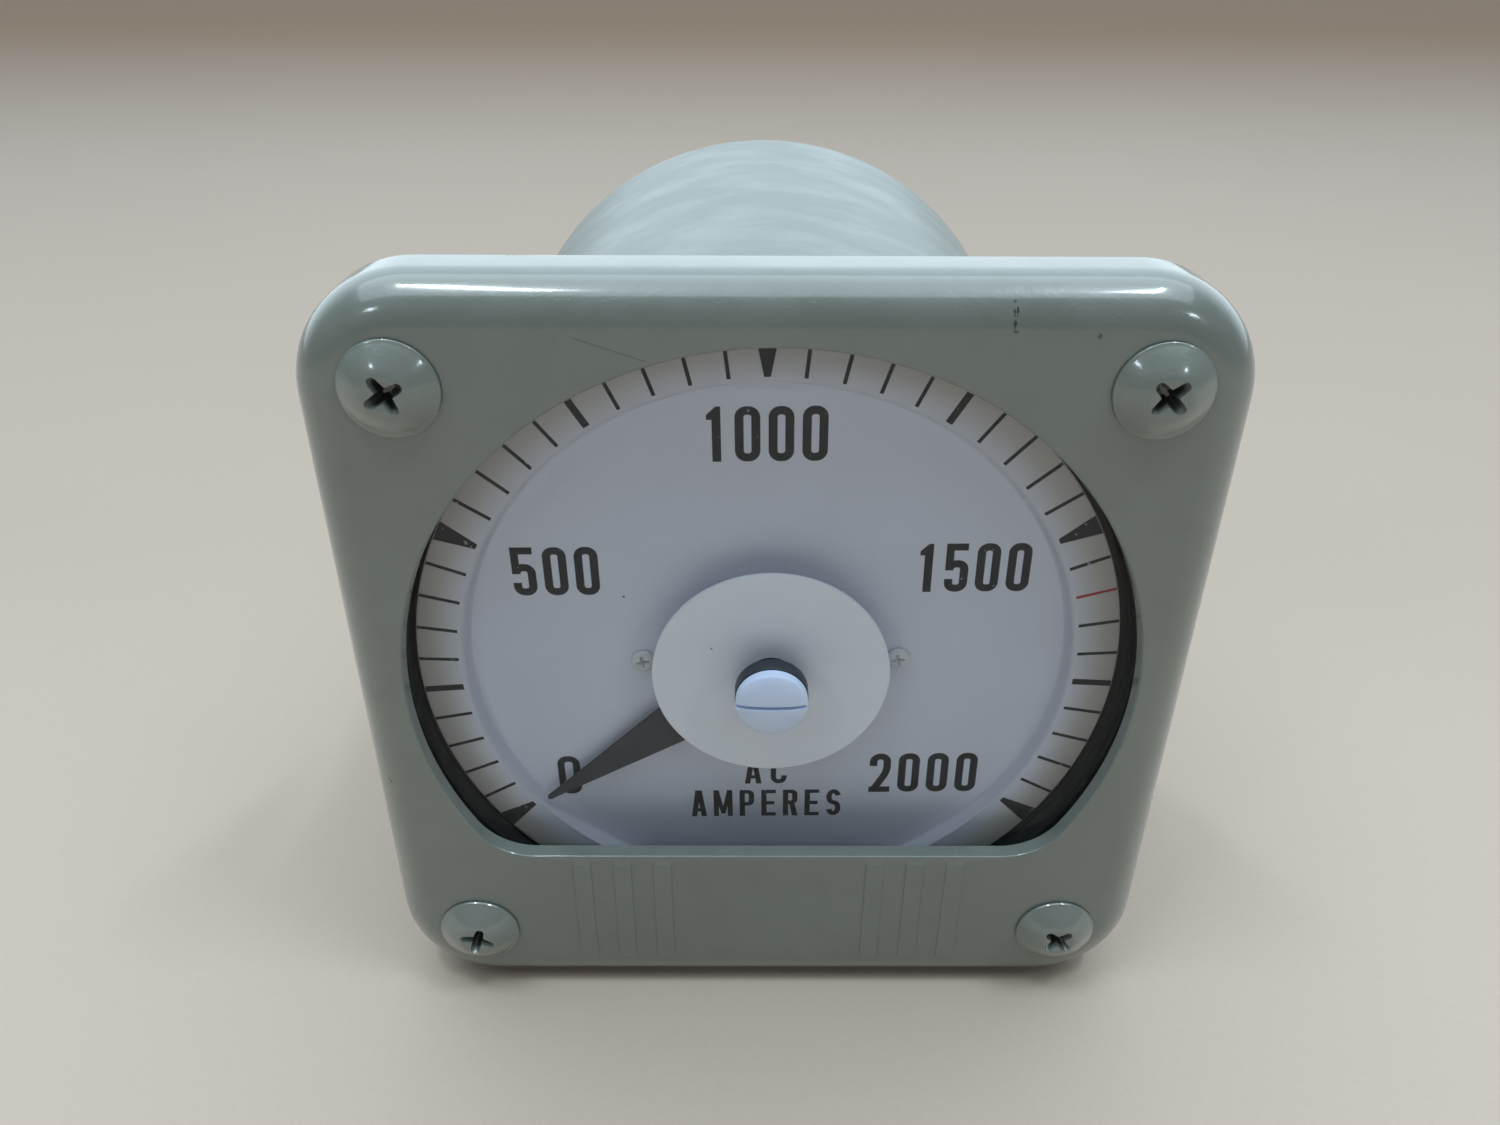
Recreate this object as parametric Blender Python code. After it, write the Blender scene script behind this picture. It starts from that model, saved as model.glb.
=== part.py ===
"""Square-flange panel ammeter with a 250 degree scale and a moving-iron movement.

Metres. X is right, Y runs back into the panel and Z is up. The origin is at the middle of the
overall box, at the height of the flange's lower edge. Each piece is built about the dial's axis:
its mesh holds (x, depth behind the flange's face, z), and its object puts that on the meter.
"""

import math

import bmesh
import bpy
from mathutils import Matrix, Vector

# Flange cover
FLANGE_HALF = 0.05715
FLANGE_DEPTH = 0.0106
FLANGE_CORNER = 0.0148
FLANGE_EDGE_ROUND = 0.006
FACE_THICKNESS = 0.00235
SKIRT_THICKNESS = 0.003
BOSS_RADIUS = 0.0055
SCREW_HALF_PITCH = 0.04455
SCREW_HOLE_RADIUS = 0.00275

# Window
WINDOW_RADIUS = 0.0494
WINDOW_CHORD = 0.0293
WINDOW_CORNER = 0.0095
PANE_RADIUS = 0.0532
PANE_FRONT = 0.00255
PANE_THICKNESS = 0.002

# Case
CASE_RADIUS = 0.052
CASE_WALL = 0.0014
CASE_BACK = 0.118
CASE_EDGE_ROUND = 0.004
CASE_SCREW_PLACE = 0.034
CASE_SCREW_RADIUS = 0.0017
MOUNTING_PLATE_THICKNESS = 0.002

# Mounting hardware
SCREW_HEAD_RADIUS = 0.00605
SCREW_HEAD_HEIGHT = 0.0028
SCREW_SHANK_RADIUS = 0.0024
SCREW_END = 0.030
WASHER_RADIUS = 0.0050
WASHER_THICKNESS = 0.0012
NUT_RADIUS = 0.0051  # across the corners
NUT_THICKNESS = 0.0040
PANEL_GASKET_THICKNESS = 0.0016
PANEL_THICKNESS = 0.0032  # room left for the panel between the gasket and the washers

# Dial
DIAL_RADIUS = 0.049
DIAL_STEP_INNER = 0.0416
DIAL_STEP_OUTER = 0.0429
DIAL_RING_FRONT = 0.0072
DIAL_FRONT = 0.0094
DIAL_THICKNESS = 0.0008
DIAL_HOLE_RADIUS = 0.011
DIAL_SCREW_RADIUS = 0.0181
DIAL_TURN = math.radians(-0.75)

# Hub disc and zero adjuster
HUB_RADIUS = 0.01656
HUB_FRONT = 0.00499
HUB_THICKNESS = 0.0007
BUSH_COLLAR_RADIUS = 0.005
BUSH_COLLAR_FRONT = 0.00015
BUSH_COLLAR_BACK = 0.00235
BUSH_BARREL_RADIUS = 0.0031
BUSH_BORE = 0.0022
ADJUSTER_STEM_RADIUS = 0.002
ADJUSTER_RADIUS = 0.0049
ADJUSTER_SIDE = 0.0013
ADJUSTER_DOME = 0.0009
CRANK_PIN_RADIUS = 0.0085

# Moving element
REST_ANGLE = math.radians(-126.5)
POINTER_FRONT = 0.00755
POINTER_THICKNESS = 0.0004
POINTER_LENGTH = 0.0415
SHAFT_RADIUS = 0.0006
SHAFT_FRONT = 0.00745
SHAFT_BACK = 0.0606
VANE_RADIUS = 0.0088
VANE_HALF_ANGLE = math.radians(17)
VANE_LENGTH = 0.0071

# Movement frame
FRONT_PLATE = 0.0116
FRONT_PLATE_THICKNESS = 0.0016
PLATE_HALF = 0.0295
POST_PLACE = 0.0255
POST_RADIUS = 0.0025
BOBBIN_FRONT = 0.027
BOBBIN_BACK = 0.053
BOBBIN_BORE = 0.012
COIL_RADIUS = 0.0215
REAR_BRIDGE = 0.062
DAMPING_DISC_FRONT = 0.020
DAMPING_DISC_RADIUS = 0.020

# Terminals
BASE_FRONT = 0.1045
BASE_BACK = 0.112
BASE_RADIUS = 0.047
BOSS_BACK = 0.121
STUD_HALF_PITCH = 0.019
STUD_RADIUS = 0.0031
STUD_END = 0.140
STUD_WASHER_RADIUS = 0.0072
STUD_WASHER_THICKNESS = 0.0014
STUD_NUT_RADIUS = 0.0064  # across the corners
STUD_NUT_THICKNESS = 0.0048

CASE_SEGMENTS = 48
GAP = 0.0003
FINE_GAP = 0.00012

FACE_Y = SCREW_HEAD_HEIGHT - (STUD_END + SCREW_HEAD_HEIGHT) / 2
AXIS_PLACE = Vector((0.0, FACE_Y, FLANGE_HALF))
CORNERS = {"tl": (-1, 1), "tr": (1, 1), "bl": (-1, -1), "br": (1, -1)}
SIDES = {"left": -1, "right": 1}


def clear_scene():
    for old in list(bpy.data.objects):
        bpy.data.objects.remove(old, do_unlink=True)


def make_material(name, colour, roughness, metallic=0.0, alpha=1.0):
    material = bpy.data.materials.new(name)
    material.use_nodes = True
    shader = material.node_tree.nodes["Principled BSDF"]
    shader.inputs["Base Color"].default_value = (*colour, 1.0)
    shader.inputs["Roughness"].default_value = roughness
    shader.inputs["Metallic"].default_value = metallic
    shader.inputs["Alpha"].default_value = alpha
    return material


def make_empty(name, place, turn=0.0):
    empty = bpy.data.objects.new(name, None)
    bpy.context.scene.collection.objects.link(empty)
    empty.location = place
    empty.rotation_euler = (0.0, turn, 0.0)
    empty.empty_display_size = 0.01
    return empty


def make_object(name, bm, material, offset=(0.0, 0.0, 0.0), turn=0.0, parent=None):
    """Turns a bmesh into an object. Offset is from the dial's axis at the flange's face."""
    bmesh.ops.remove_doubles(bm, verts=bm.verts, dist=1e-6)
    bmesh.ops.recalc_face_normals(bm, faces=bm.faces)
    mesh = bpy.data.meshes.new(name)
    bm.to_mesh(mesh)
    bm.free()
    mesh.shade_smooth()
    mesh.set_sharp_from_angle(angle=math.radians(35))
    mesh.materials.append(material)
    piece = bpy.data.objects.new(name, mesh)
    bpy.context.scene.collection.objects.link(piece)
    piece.rotation_euler = (0.0, turn, 0.0)
    if parent:
        piece.parent = parent
        piece.location = offset
    else:
        piece.location = AXIS_PLACE + Vector(offset)
    return piece


def cut(piece, cutter_bm, name):
    """Takes the cutter's shape out of the piece, in the piece's own frame."""
    cutter = make_object(name, cutter_bm, piece.data.materials[0])
    cutter.parent = piece.parent
    cutter.matrix_basis = piece.matrix_basis.copy()
    cutter.hide_render = True
    cutter.display_type = "WIRE"
    modifier = piece.modifiers.new(name, "BOOLEAN")
    modifier.object = cutter
    modifier.operation = "DIFFERENCE"
    modifier.solver = "EXACT"


def circle(radius, segments, centre=(0.0, 0.0)):
    """Points (x, z) round a circle."""
    points = []
    for i in range(segments):
        angle = 2 * math.pi * i / segments
        points.append((centre[0] + radius * math.cos(angle), centre[1] + radius * math.sin(angle)))
    return points


def arc(radius, start, end, steps, centre=(0.0, 0.0)):
    points = []
    for i in range(steps + 1):
        angle = start + (end - start) * i / steps
        points.append((centre[0] + radius * math.cos(angle), centre[1] + radius * math.sin(angle)))
    return points


def rounded_rectangle(half_x, half_z, corner, steps=4):
    points = []
    for quarter in range(4):
        middle = math.pi / 4 + quarter * math.pi / 2
        centre_x = math.copysign(half_x - corner, math.cos(middle))
        centre_z = math.copysign(half_z - corner, math.sin(middle))
        points += arc(corner, middle - math.pi / 4, middle + math.pi / 4, steps, (centre_x, centre_z))
    return points


def rounded_square(half, corner, steps=6):
    return rounded_rectangle(half, half, corner, steps)


def window_outline(steps=44):
    """A circle cut by a level chord, with a fillet where the chord meets the circle."""
    fillet_z = WINDOW_CORNER - WINDOW_CHORD
    fillet_x = math.sqrt((WINDOW_RADIUS - WINDOW_CORNER) ** 2 - fillet_z**2)
    meet = math.atan2(fillet_z, fillet_x)
    points = arc(WINDOW_RADIUS, meet, math.pi - meet, steps)
    points += arc(WINDOW_CORNER, math.pi - meet, 1.5 * math.pi, 6, (-fillet_x, fillet_z))[1:]
    points += arc(WINDOW_CORNER, 1.5 * math.pi, 2 * math.pi + meet, 6, (fillet_x, fillet_z))[:-1]
    return points


def add_loop(bm, points, depth):
    """A closed ring of edges at one depth."""
    verts = [bm.verts.new((x, depth, z)) for x, z in points]
    for i, vert in enumerate(verts):
        bm.edges.new((vert, verts[(i + 1) % len(verts)]))
    return verts


def loop_edges(bm, verts):
    return [bm.edges.get((vert, verts[(i + 1) % len(verts)])) for i, vert in enumerate(verts)]


def skin(bm, *loops):
    """Joins rings of the same count with quads."""
    for first, second in zip(loops, loops[1:]):
        count = len(first)
        for i in range(count):
            j = (i + 1) % count
            bm.faces.new((first[i], first[j], second[j], second[i]))


def fill(bm, *loops):
    """Fills the flat area between an outer ring and the rings inside it."""
    edges = [edge for verts in loops for edge in loop_edges(bm, verts)]
    bmesh.ops.triangle_fill(bm, edges=edges, use_beauty=True, use_dissolve=False)


def plate(outline, holes, front, back):
    """A flat plate with holes through it."""
    bm = bmesh.new()
    fronts = [add_loop(bm, points, front) for points in (outline, *holes)]
    backs = [add_loop(bm, points, back) for points in (outline, *holes)]
    fill(bm, *fronts)
    fill(bm, *backs)
    for near, far in zip(fronts, backs):
        skin(bm, near, far)
    return bm


def turned(profile, segments, centre=(0.0, 0.0)):
    """A turned solid from (radius, depth) points, closed on itself or on the axis."""
    bm = bmesh.new()
    verts = [bm.verts.new((radius, depth, 0.0)) for radius, depth in profile]
    edges = [bm.edges.new(pair) for pair in zip(verts, verts[1:])]
    if profile[0][0] > 0:
        edges.append(bm.edges.new((verts[-1], verts[0])))
    bmesh.ops.spin(
        bm,
        geom=verts + edges,
        axis=(0, 1, 0),
        cent=(0, 0, 0),
        angle=2 * math.pi,
        steps=segments,
        use_merge=True,
    )
    bmesh.ops.remove_doubles(bm, verts=bm.verts, dist=1e-6)
    bmesh.ops.translate(bm, verts=bm.verts, vec=(centre[0], 0.0, centre[1]))
    return bm


def ring(inner, outer, front, back, segments, centre=(0.0, 0.0)):
    profile = [(inner, front), (outer, front), (outer, back), (inner, back)]
    return turned(profile, segments, centre)


def disc(radius, front, back, segments, centre=(0.0, 0.0)):
    return turned([(0, front), (radius, front), (radius, back), (0, back)], segments, centre)


def box(half_x, depths, heights, turn=0.0):
    bm = bmesh.new()
    bmesh.ops.create_cube(bm, size=1.0)
    size = (2 * half_x, depths[1] - depths[0], heights[1] - heights[0])
    bmesh.ops.scale(bm, verts=bm.verts, vec=size)
    centre = (0.0, sum(depths) / 2, sum(heights) / 2)
    bmesh.ops.translate(bm, verts=bm.verts, vec=centre)
    bmesh.ops.rotate(bm, verts=bm.verts, cent=(0, 0, 0), matrix=Matrix.Rotation(turn, 3, "Y"))
    return bm


def merged(first, *others):
    """Puts several closed shapes that don't meet into one cutter."""
    for other in others:
        scratch = bpy.data.meshes.new("scratch")
        other.to_mesh(scratch)
        other.free()
        first.from_mesh(scratch)
        bpy.data.meshes.remove(scratch)
    return first


def cross_recess(reach, width, front, back):
    """A four-armed recess cutter, one plus-shaped prism that narrows towards its tip."""
    half = width / 2
    quarter = [(reach, -half), (reach, half), (half, half)]
    outline = []
    for i in range(4):
        spin = Matrix.Rotation(i * math.pi / 2, 2)
        outline += [tuple(spin @ Vector(point)) for point in quarter]
    bm = bmesh.new()
    near = add_loop(bm, outline, front)
    far = add_loop(bm, [(0.7 * x, 0.7 * z) for x, z in outline], back)
    fill(bm, near)
    fill(bm, far)
    skin(bm, near, far)
    return bm


def screw_places(pitch=SCREW_HALF_PITCH):
    return [(sx * pitch, sz * pitch) for sx, sz in CORNERS.values()]


def make_flange_cover(paint):
    """The square cover: rounded front edge, D-shaped window, open back and four screw bosses."""
    bm = bmesh.new()
    outer = []
    for i in range(5):
        swing = math.pi / 2 * i / 4
        inset = FLANGE_EDGE_ROUND * (1 - math.sin(swing))
        depth = FLANGE_EDGE_ROUND * (1 - math.cos(swing))
        points = rounded_square(FLANGE_HALF - inset, FLANGE_CORNER - inset)
        outer.append(add_loop(bm, points, depth))
    outer.append(add_loop(bm, rounded_square(FLANGE_HALF, FLANGE_CORNER), FLANGE_DEPTH))
    skin(bm, *outer)

    cavity = rounded_square(FLANGE_HALF - SKIRT_THICKNESS, FLANGE_CORNER - SKIRT_THICKNESS)
    rim = add_loop(bm, cavity, FLANGE_DEPTH)
    floor = add_loop(bm, cavity, FACE_THICKNESS)
    skin(bm, outer[-1], rim, floor)

    window_front = add_loop(bm, window_outline(), 0.0)
    window_back = add_loop(bm, window_outline(), FACE_THICKNESS)
    skin(bm, window_front, window_back)

    boss_top = FLANGE_DEPTH - MOUNTING_PLATE_THICKNESS - GAP
    hole_fronts, boss_feet = [], []
    for place in screw_places():
        hole_front = add_loop(bm, circle(SCREW_HOLE_RADIUS, 12, place), 0.0)
        hole_back = add_loop(bm, circle(SCREW_HOLE_RADIUS, 12, place), boss_top)
        boss_back = add_loop(bm, circle(BOSS_RADIUS, 12, place), boss_top)
        boss_foot = add_loop(bm, circle(BOSS_RADIUS, 12, place), FACE_THICKNESS)
        skin(bm, hole_front, hole_back, boss_back, boss_foot)
        hole_fronts.append(hole_front)
        boss_feet.append(boss_foot)
    fill(bm, outer[0], window_front, *hole_fronts)
    fill(bm, floor, window_back, *boss_feet)
    return make_object("flange_cover", bm, paint)


def make_window(glass, rubber):
    pane_back = PANE_FRONT + PANE_THICKNESS
    pane = ring(BUSH_BARREL_RADIUS + 0.0002, PANE_RADIUS, PANE_FRONT, pane_back, 48)
    make_object("window_pane", pane, glass)
    gasket_back = FLANGE_DEPTH - MOUNTING_PLATE_THICKNESS - GAP
    gasket = ring(DIAL_RADIUS + 0.0011, PANE_RADIUS, pane_back + 0.0002, gasket_back, 48)
    make_object("window_gasket", gasket, rubber)


def make_mounting_plate(paint):
    """The square plate inside the flange cover. The case stands in its round hole."""
    edge = SKIRT_THICKNESS + GAP
    square = rounded_square(FLANGE_HALF - edge, FLANGE_CORNER - edge)
    holes = [circle(CASE_RADIUS + GAP, CASE_SEGMENTS)]
    holes += [circle(SCREW_HOLE_RADIUS, 12, place) for place in screw_places()]
    front = FLANGE_DEPTH - MOUNTING_PLATE_THICKNESS
    make_object("mounting_plate", plate(square, holes, front, FLANGE_DEPTH), paint)


def make_case(paint):
    """The drawn cup, open at the front, with an opening in its back for the terminal base."""
    bm = bmesh.new()
    inside = CASE_RADIUS - CASE_WALL
    mouth = FLANGE_DEPTH - MOUNTING_PLATE_THICKNESS

    def round_loop(radius, depth):
        return add_loop(bm, circle(radius, CASE_SEGMENTS), depth)

    outer = [round_loop(CASE_RADIUS, mouth)]
    for i in range(4):
        swing = math.pi / 2 * i / 3
        radius = CASE_RADIUS - CASE_EDGE_ROUND * (1 - math.cos(swing))
        depth = CASE_BACK - CASE_EDGE_ROUND * (1 - math.sin(swing))
        outer.append(round_loop(radius, depth))
    inner_round = CASE_EDGE_ROUND - CASE_WALL
    inner = [round_loop(inside, mouth), round_loop(inside, CASE_BACK - CASE_EDGE_ROUND)]
    inner.append(round_loop(inside - inner_round, CASE_BACK - CASE_WALL))
    skin(bm, *outer)
    skin(bm, outer[0], *inner)

    opening = rear_opening(GAP)
    opening_inside = add_loop(bm, opening, CASE_BACK - CASE_WALL)
    opening_outside = add_loop(bm, opening, CASE_BACK)
    skin(bm, opening_inside, opening_outside)
    screw_insides, screw_outsides = [], []
    for place in base_screw_places():
        hole = circle(CASE_SCREW_RADIUS + 0.0005, 12, place)
        screw_insides.append(add_loop(bm, hole, CASE_BACK - CASE_WALL))
        screw_outsides.append(add_loop(bm, hole, CASE_BACK))
        skin(bm, screw_insides[-1], screw_outsides[-1])
    fill(bm, inner[-1], opening_inside, *screw_insides)
    fill(bm, outer[-1], opening_outside, *screw_outsides)
    return make_object("case", bm, paint)


def rear_opening(clearance):
    """The oblong opening through which the terminal base stands out of the case."""
    return rounded_rectangle(0.030 + clearance, 0.015 + clearance, 0.004 + clearance)


def base_screw_places():
    return [(0.0, CASE_SCREW_PLACE), (0.0, -CASE_SCREW_PLACE)]


def make_panel_gasket(rubber):
    front = FLANGE_DEPTH + GAP
    outline = rounded_square(FLANGE_HALF - 0.0008, FLANGE_CORNER - 0.0008)
    holes = [circle(CASE_RADIUS + 0.0006, CASE_SEGMENTS)]
    holes += [circle(SCREW_HOLE_RADIUS + 0.0002, 12, place) for place in screw_places()]
    bm = plate(outline, holes, front, front + PANEL_GASKET_THICKNESS)
    make_object("panel_gasket", bm, rubber)


def domed_screw(shank_end):
    """A domed-head screw's profile, with the head's underside just in front of the face."""
    rim = 0.00035
    profile = []
    steps = 5
    dome = SCREW_HEAD_HEIGHT - rim
    sphere = (SCREW_HEAD_RADIUS**2 + dome**2) / (2 * dome)
    half_angle = math.asin(SCREW_HEAD_RADIUS / sphere)
    for i in range(steps + 1):
        angle = half_angle * i / steps
        profile.append((sphere * math.sin(angle), sphere * (1 - math.cos(angle)) - SCREW_HEAD_HEIGHT))
    profile.append((SCREW_HEAD_RADIUS, -FINE_GAP))
    profile.append((SCREW_SHANK_RADIUS, -FINE_GAP))
    profile.append((SCREW_SHANK_RADIUS, shank_end - 0.0006))
    profile.append((SCREW_SHANK_RADIUS - 0.0006, shank_end))
    profile.append((0.0, shank_end))
    return turned(profile, 20)


def make_mounting_hardware(paint, steel):
    recess_turns = {"tl": 30, "tr": 45, "bl": -17, "br": 45}
    washer_front = FLANGE_DEPTH + GAP + PANEL_GASKET_THICKNESS + PANEL_THICKNESS
    washer_back = washer_front + WASHER_THICKNESS
    nut_back = washer_back + GAP + NUT_THICKNESS
    for corner, (sx, sz) in CORNERS.items():
        place = (sx * SCREW_HALF_PITCH, 0.0, sz * SCREW_HALF_PITCH)
        turn = math.radians(recess_turns[corner])
        name = f"mounting_screw_{corner}"
        screw = make_object(name, domed_screw(SCREW_END), paint, place, turn)
        recess = cross_recess(0.0025, 0.0011, -0.0040, -0.0012)
        cut(screw, recess, f"{name}_recess")
        washer = ring(SCREW_SHANK_RADIUS + GAP, WASHER_RADIUS, washer_front, washer_back, 20)
        make_object(f"mounting_washer_{corner}", washer, steel, place)
        nut_holes = [circle(SCREW_SHANK_RADIUS + FINE_GAP, 20)]
        nut = plate(circle(NUT_RADIUS, 6), nut_holes, washer_back + GAP, nut_back)
        make_object(f"mounting_nut_{corner}", nut, steel, place)


def make_dial(white, screw_white):
    back = DIAL_FRONT + DIAL_THICKNESS
    ring_back = DIAL_RING_FRONT + DIAL_THICKNESS
    profile = [
        (DIAL_HOLE_RADIUS, DIAL_FRONT),
        (DIAL_STEP_INNER, DIAL_FRONT),
        (DIAL_STEP_OUTER, DIAL_RING_FRONT),
        (DIAL_RADIUS, DIAL_RING_FRONT),
        (DIAL_RADIUS, ring_back),
        (DIAL_STEP_OUTER + 0.0004, ring_back),
        (DIAL_STEP_INNER + 0.0004, back),
        (DIAL_HOLE_RADIUS, back),
    ]
    dial = make_object("dial_plate", turned(profile, 48), white, turn=DIAL_TURN)
    holes = [disc(0.0013, DIAL_FRONT - 0.001, back + 0.001, 12, place) for place in dial_screw_places()]
    cut(dial, merged(*holes), "dial_screw_holes")
    head_front = DIAL_FRONT - 0.00085
    for side, sign in SIDES.items():
        profile = [
            (0.0, head_front),
            (0.0010, head_front + 0.00008),
            (0.0017, head_front + 0.00040),
            (0.0017, DIAL_FRONT - FINE_GAP),
            (0.0010, DIAL_FRONT - FINE_GAP),
            (0.0010, FRONT_PLATE + 0.0006),
            (0.0, FRONT_PLATE + 0.0006),
        ]
        place = Matrix.Rotation(DIAL_TURN, 3, "Y") @ Vector((sign * DIAL_SCREW_RADIUS, 0.0, 0.0))
        screw = make_object(f"dial_screw_{side}", turned(profile, 16), screw_white, place)
        recess = cross_recess(0.0009, 0.0004, head_front - 0.0005, head_front + 0.0005)
        cut(screw, recess, f"dial_screw_{side}_recess")


def dial_screw_places():
    return [(sign * DIAL_SCREW_RADIUS, 0.0) for sign in SIDES.values()]


def make_hub(white, black, steel):
    hub_back = HUB_FRONT + HUB_THICKNESS
    disc_bm = ring(BUSH_BARREL_RADIUS + 0.0002, HUB_RADIUS, HUB_FRONT, hub_back, 48)
    make_object("hub_disc", disc_bm, white)
    clip_front = hub_back + GAP
    clip_back = clip_front + 0.0005
    clip = ring(BUSH_BARREL_RADIUS + 0.0001, 0.0056, clip_front, clip_back, 32)
    make_object("bush_clip", clip, steel)
    profile = [
        (BUSH_BORE, BUSH_COLLAR_FRONT),
        (BUSH_COLLAR_RADIUS, BUSH_COLLAR_FRONT),
        (BUSH_COLLAR_RADIUS, BUSH_COLLAR_BACK),
        (BUSH_BARREL_RADIUS, BUSH_COLLAR_BACK),
        (BUSH_BARREL_RADIUS, clip_back),
        (BUSH_BORE, clip_back),
    ]
    make_object("adjuster_bush", turned(profile, 32), black)
    return clip_back


def make_adjuster(white, brass, clip_back, axis):
    """The slotted, domed adjuster. Its stem runs through the bush to the crank."""
    shoulder = clip_back + 0.0002
    crank_back = shoulder + 0.00045
    profile = [(0.0, -ADJUSTER_SIDE - ADJUSTER_DOME)]
    for i in range(1, 6):
        swing = math.pi / 2 * i / 5
        radius = ADJUSTER_RADIUS * math.sin(swing)
        profile.append((radius, -ADJUSTER_SIDE - ADJUSTER_DOME * math.cos(swing)))
    profile += [
        (ADJUSTER_RADIUS, 0.0),
        (ADJUSTER_STEM_RADIUS, 0.0),
        (ADJUSTER_STEM_RADIUS, shoulder),
        (0.0014, shoulder),
        (0.0014, crank_back),
        (0.0, crank_back),
    ]
    adjuster = make_object("zero_adjuster", turned(profile, 32), white, parent=axis)
    slot = box(0.006, (-0.004, -ADJUSTER_SIDE + 0.0003), (-0.00055, 0.00055))
    cut(adjuster, slot, "zero_adjuster_slot")

    pin_z = -CRANK_PIN_RADIUS
    arm = arc(0.0026, 0.2, math.pi - 0.2, 12)
    arm += arc(0.0012, math.pi, 2 * math.pi, 8, (0.0, pin_z))
    crank = plate(arm, [circle(0.00152, 16)], shoulder, crank_back)
    crank_object = make_object("adjuster_crank", crank, brass, parent=axis)
    pin = disc(0.0005, shoulder + 0.0001, FRONT_PLATE - GAP, 12, (0.0, pin_z))
    add_shape(crank_object, pin, "adjuster_crank_pin")


def add_shape(piece, other_bm, name):
    """Joins another closed shape to the piece."""
    cut(piece, other_bm, name)
    piece.modifiers[name].operation = "UNION"


def make_zero_lever(brass, axis):
    """A ring round the front bearing's boss, with a fork for the crank pin and a spring stud."""
    front, back = FRONT_PLATE - 0.0012, FRONT_PLATE - 0.0005
    outline = arc(0.0046, -1.2, math.pi + 1.2, 28)
    fork_out, fork_half, slot_half = 0.0102, 0.0016, 0.00065
    fork_bottom = CRANK_PIN_RADIUS - slot_half
    outline += [
        (-fork_half, -fork_out),
        (-slot_half, -fork_out),
        (-slot_half, -fork_bottom),
        (slot_half, -fork_bottom),
        (slot_half, -fork_out),
        (fork_half, -fork_out),
    ]
    lever = make_object("zero_lever", plate(outline, [circle(0.00315, 24)], front, back), brass, parent=axis)
    tab = plate([(-0.0008, 0.0040), (0.0008, 0.0040), (0.0008, 0.0068), (-0.0008, 0.0068)], [], front, back)
    add_shape(lever, tab, "zero_lever_tab")
    stud = disc(0.0004, 0.0086, front + 0.0002, 10, (0.0, 0.0063))
    add_shape(lever, stud, "zero_lever_stud")


def make_hairspring(bronze):
    """A flat spiral ribbon from the collet to the zero lever's stud."""
    turns, steps_per_turn = 4, 16
    inner, outer = 0.00165, 0.00575
    half_thickness, front, back = 0.00008, 0.0087, 0.0095
    count = turns * steps_per_turn
    bm = bmesh.new()
    rings = []
    for i in range(count + 1):
        share = i / count
        angle = math.pi / 2 + 2 * math.pi * turns * (share - 1)
        radius = inner + (outer - inner) * share
        corners = []
        for r, depth in (
            (radius - half_thickness, front),
            (radius + half_thickness, front),
            (radius + half_thickness, back),
            (radius - half_thickness, back),
        ):
            corners.append(bm.verts.new((r * math.cos(angle), depth, r * math.sin(angle))))
        rings.append(corners)
    skin(bm, *rings)
    bm.faces.new(rings[0])
    bm.faces.new(rings[-1])
    make_object("hairspring", bm, bronze)


def make_pointer(black, brass, axis):
    """The broad tapered pointer, with small barbs short of its fine tip."""
    half_outline = [
        (0.0014, 0.0060),
        (0.0033, 0.0150),
        (0.0033, 0.0178),
        (0.0013, 0.0345),
        (0.0019, 0.0366),
        (0.0005, 0.0391),
    ]
    left = [(-x, z) for x, z in reversed(half_outline)]
    hub = arc(0.0027, math.radians(240), math.radians(300), 8)
    outline = [(0.0, POINTER_LENGTH), *left, (-0.0026, 0.0012), *hub, (0.0026, 0.0012), *half_outline]
    back = POINTER_FRONT + POINTER_THICKNESS
    bm = plate(outline, [circle(SHAFT_RADIUS + FINE_GAP, 16)], POINTER_FRONT, back)
    make_object("pointer", bm, black, parent=axis)
    hub_bm = ring(SHAFT_RADIUS + FINE_GAP, 0.0018, back + 0.0001, 0.0084, 20)
    make_object("pointer_hub", hub_bm, brass, parent=axis)


def make_moving_element(steel, brass, aluminium, iron, axis):
    shaft = [
        (0.0, SHAFT_FRONT - 0.0002),
        (SHAFT_RADIUS, SHAFT_FRONT),
        (SHAFT_RADIUS, SHAFT_BACK - 0.0009),
        (0.0, SHAFT_BACK),
    ]
    make_object("shaft", turned(shaft, 16), steel, parent=axis)
    collet = ring(SHAFT_RADIUS + FINE_GAP, 0.0014, 0.0086, 0.0097, 20)
    make_object("spring_collet", collet, brass, parent=axis)
    bore = SHAFT_RADIUS + FINE_GAP
    disc_back = DAMPING_DISC_FRONT + 0.0006
    damper = ring(bore, DAMPING_DISC_RADIUS, DAMPING_DISC_FRONT, disc_back, 40)
    make_object("damping_disc", damper, aluminium, parent=axis)

    down = -math.pi / 2
    inner = VANE_RADIUS - 0.0008
    web = 0.0005
    outline = arc(VANE_RADIUS, down - VANE_HALF_ANGLE, down + VANE_HALF_ANGLE, 12)
    outline += arc(inner, down + VANE_HALF_ANGLE, down + math.asin(web / inner), 5)
    collar = 0.0020
    lean = math.asin(web / collar)
    outline += arc(collar, down + lean, down + 2 * math.pi - lean, 20)
    outline += arc(inner, down - math.asin(web / inner), down - VANE_HALF_ANGLE, 5)
    middle = (BOBBIN_FRONT + BOBBIN_BACK) / 2
    vane_front, vane_back = middle - VANE_LENGTH / 2, middle + VANE_LENGTH / 2
    vane = plate(outline, [circle(bore, 16)], vane_front, vane_back)
    make_object("moving_vane", vane, iron, parent=axis)


def plate_holes(radius):
    return [circle(radius, 12, place) for place in post_places()]


def post_places():
    return [(sx * POST_PLACE, sz * POST_PLACE) for sx, sz in CORNERS.values()]


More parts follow.
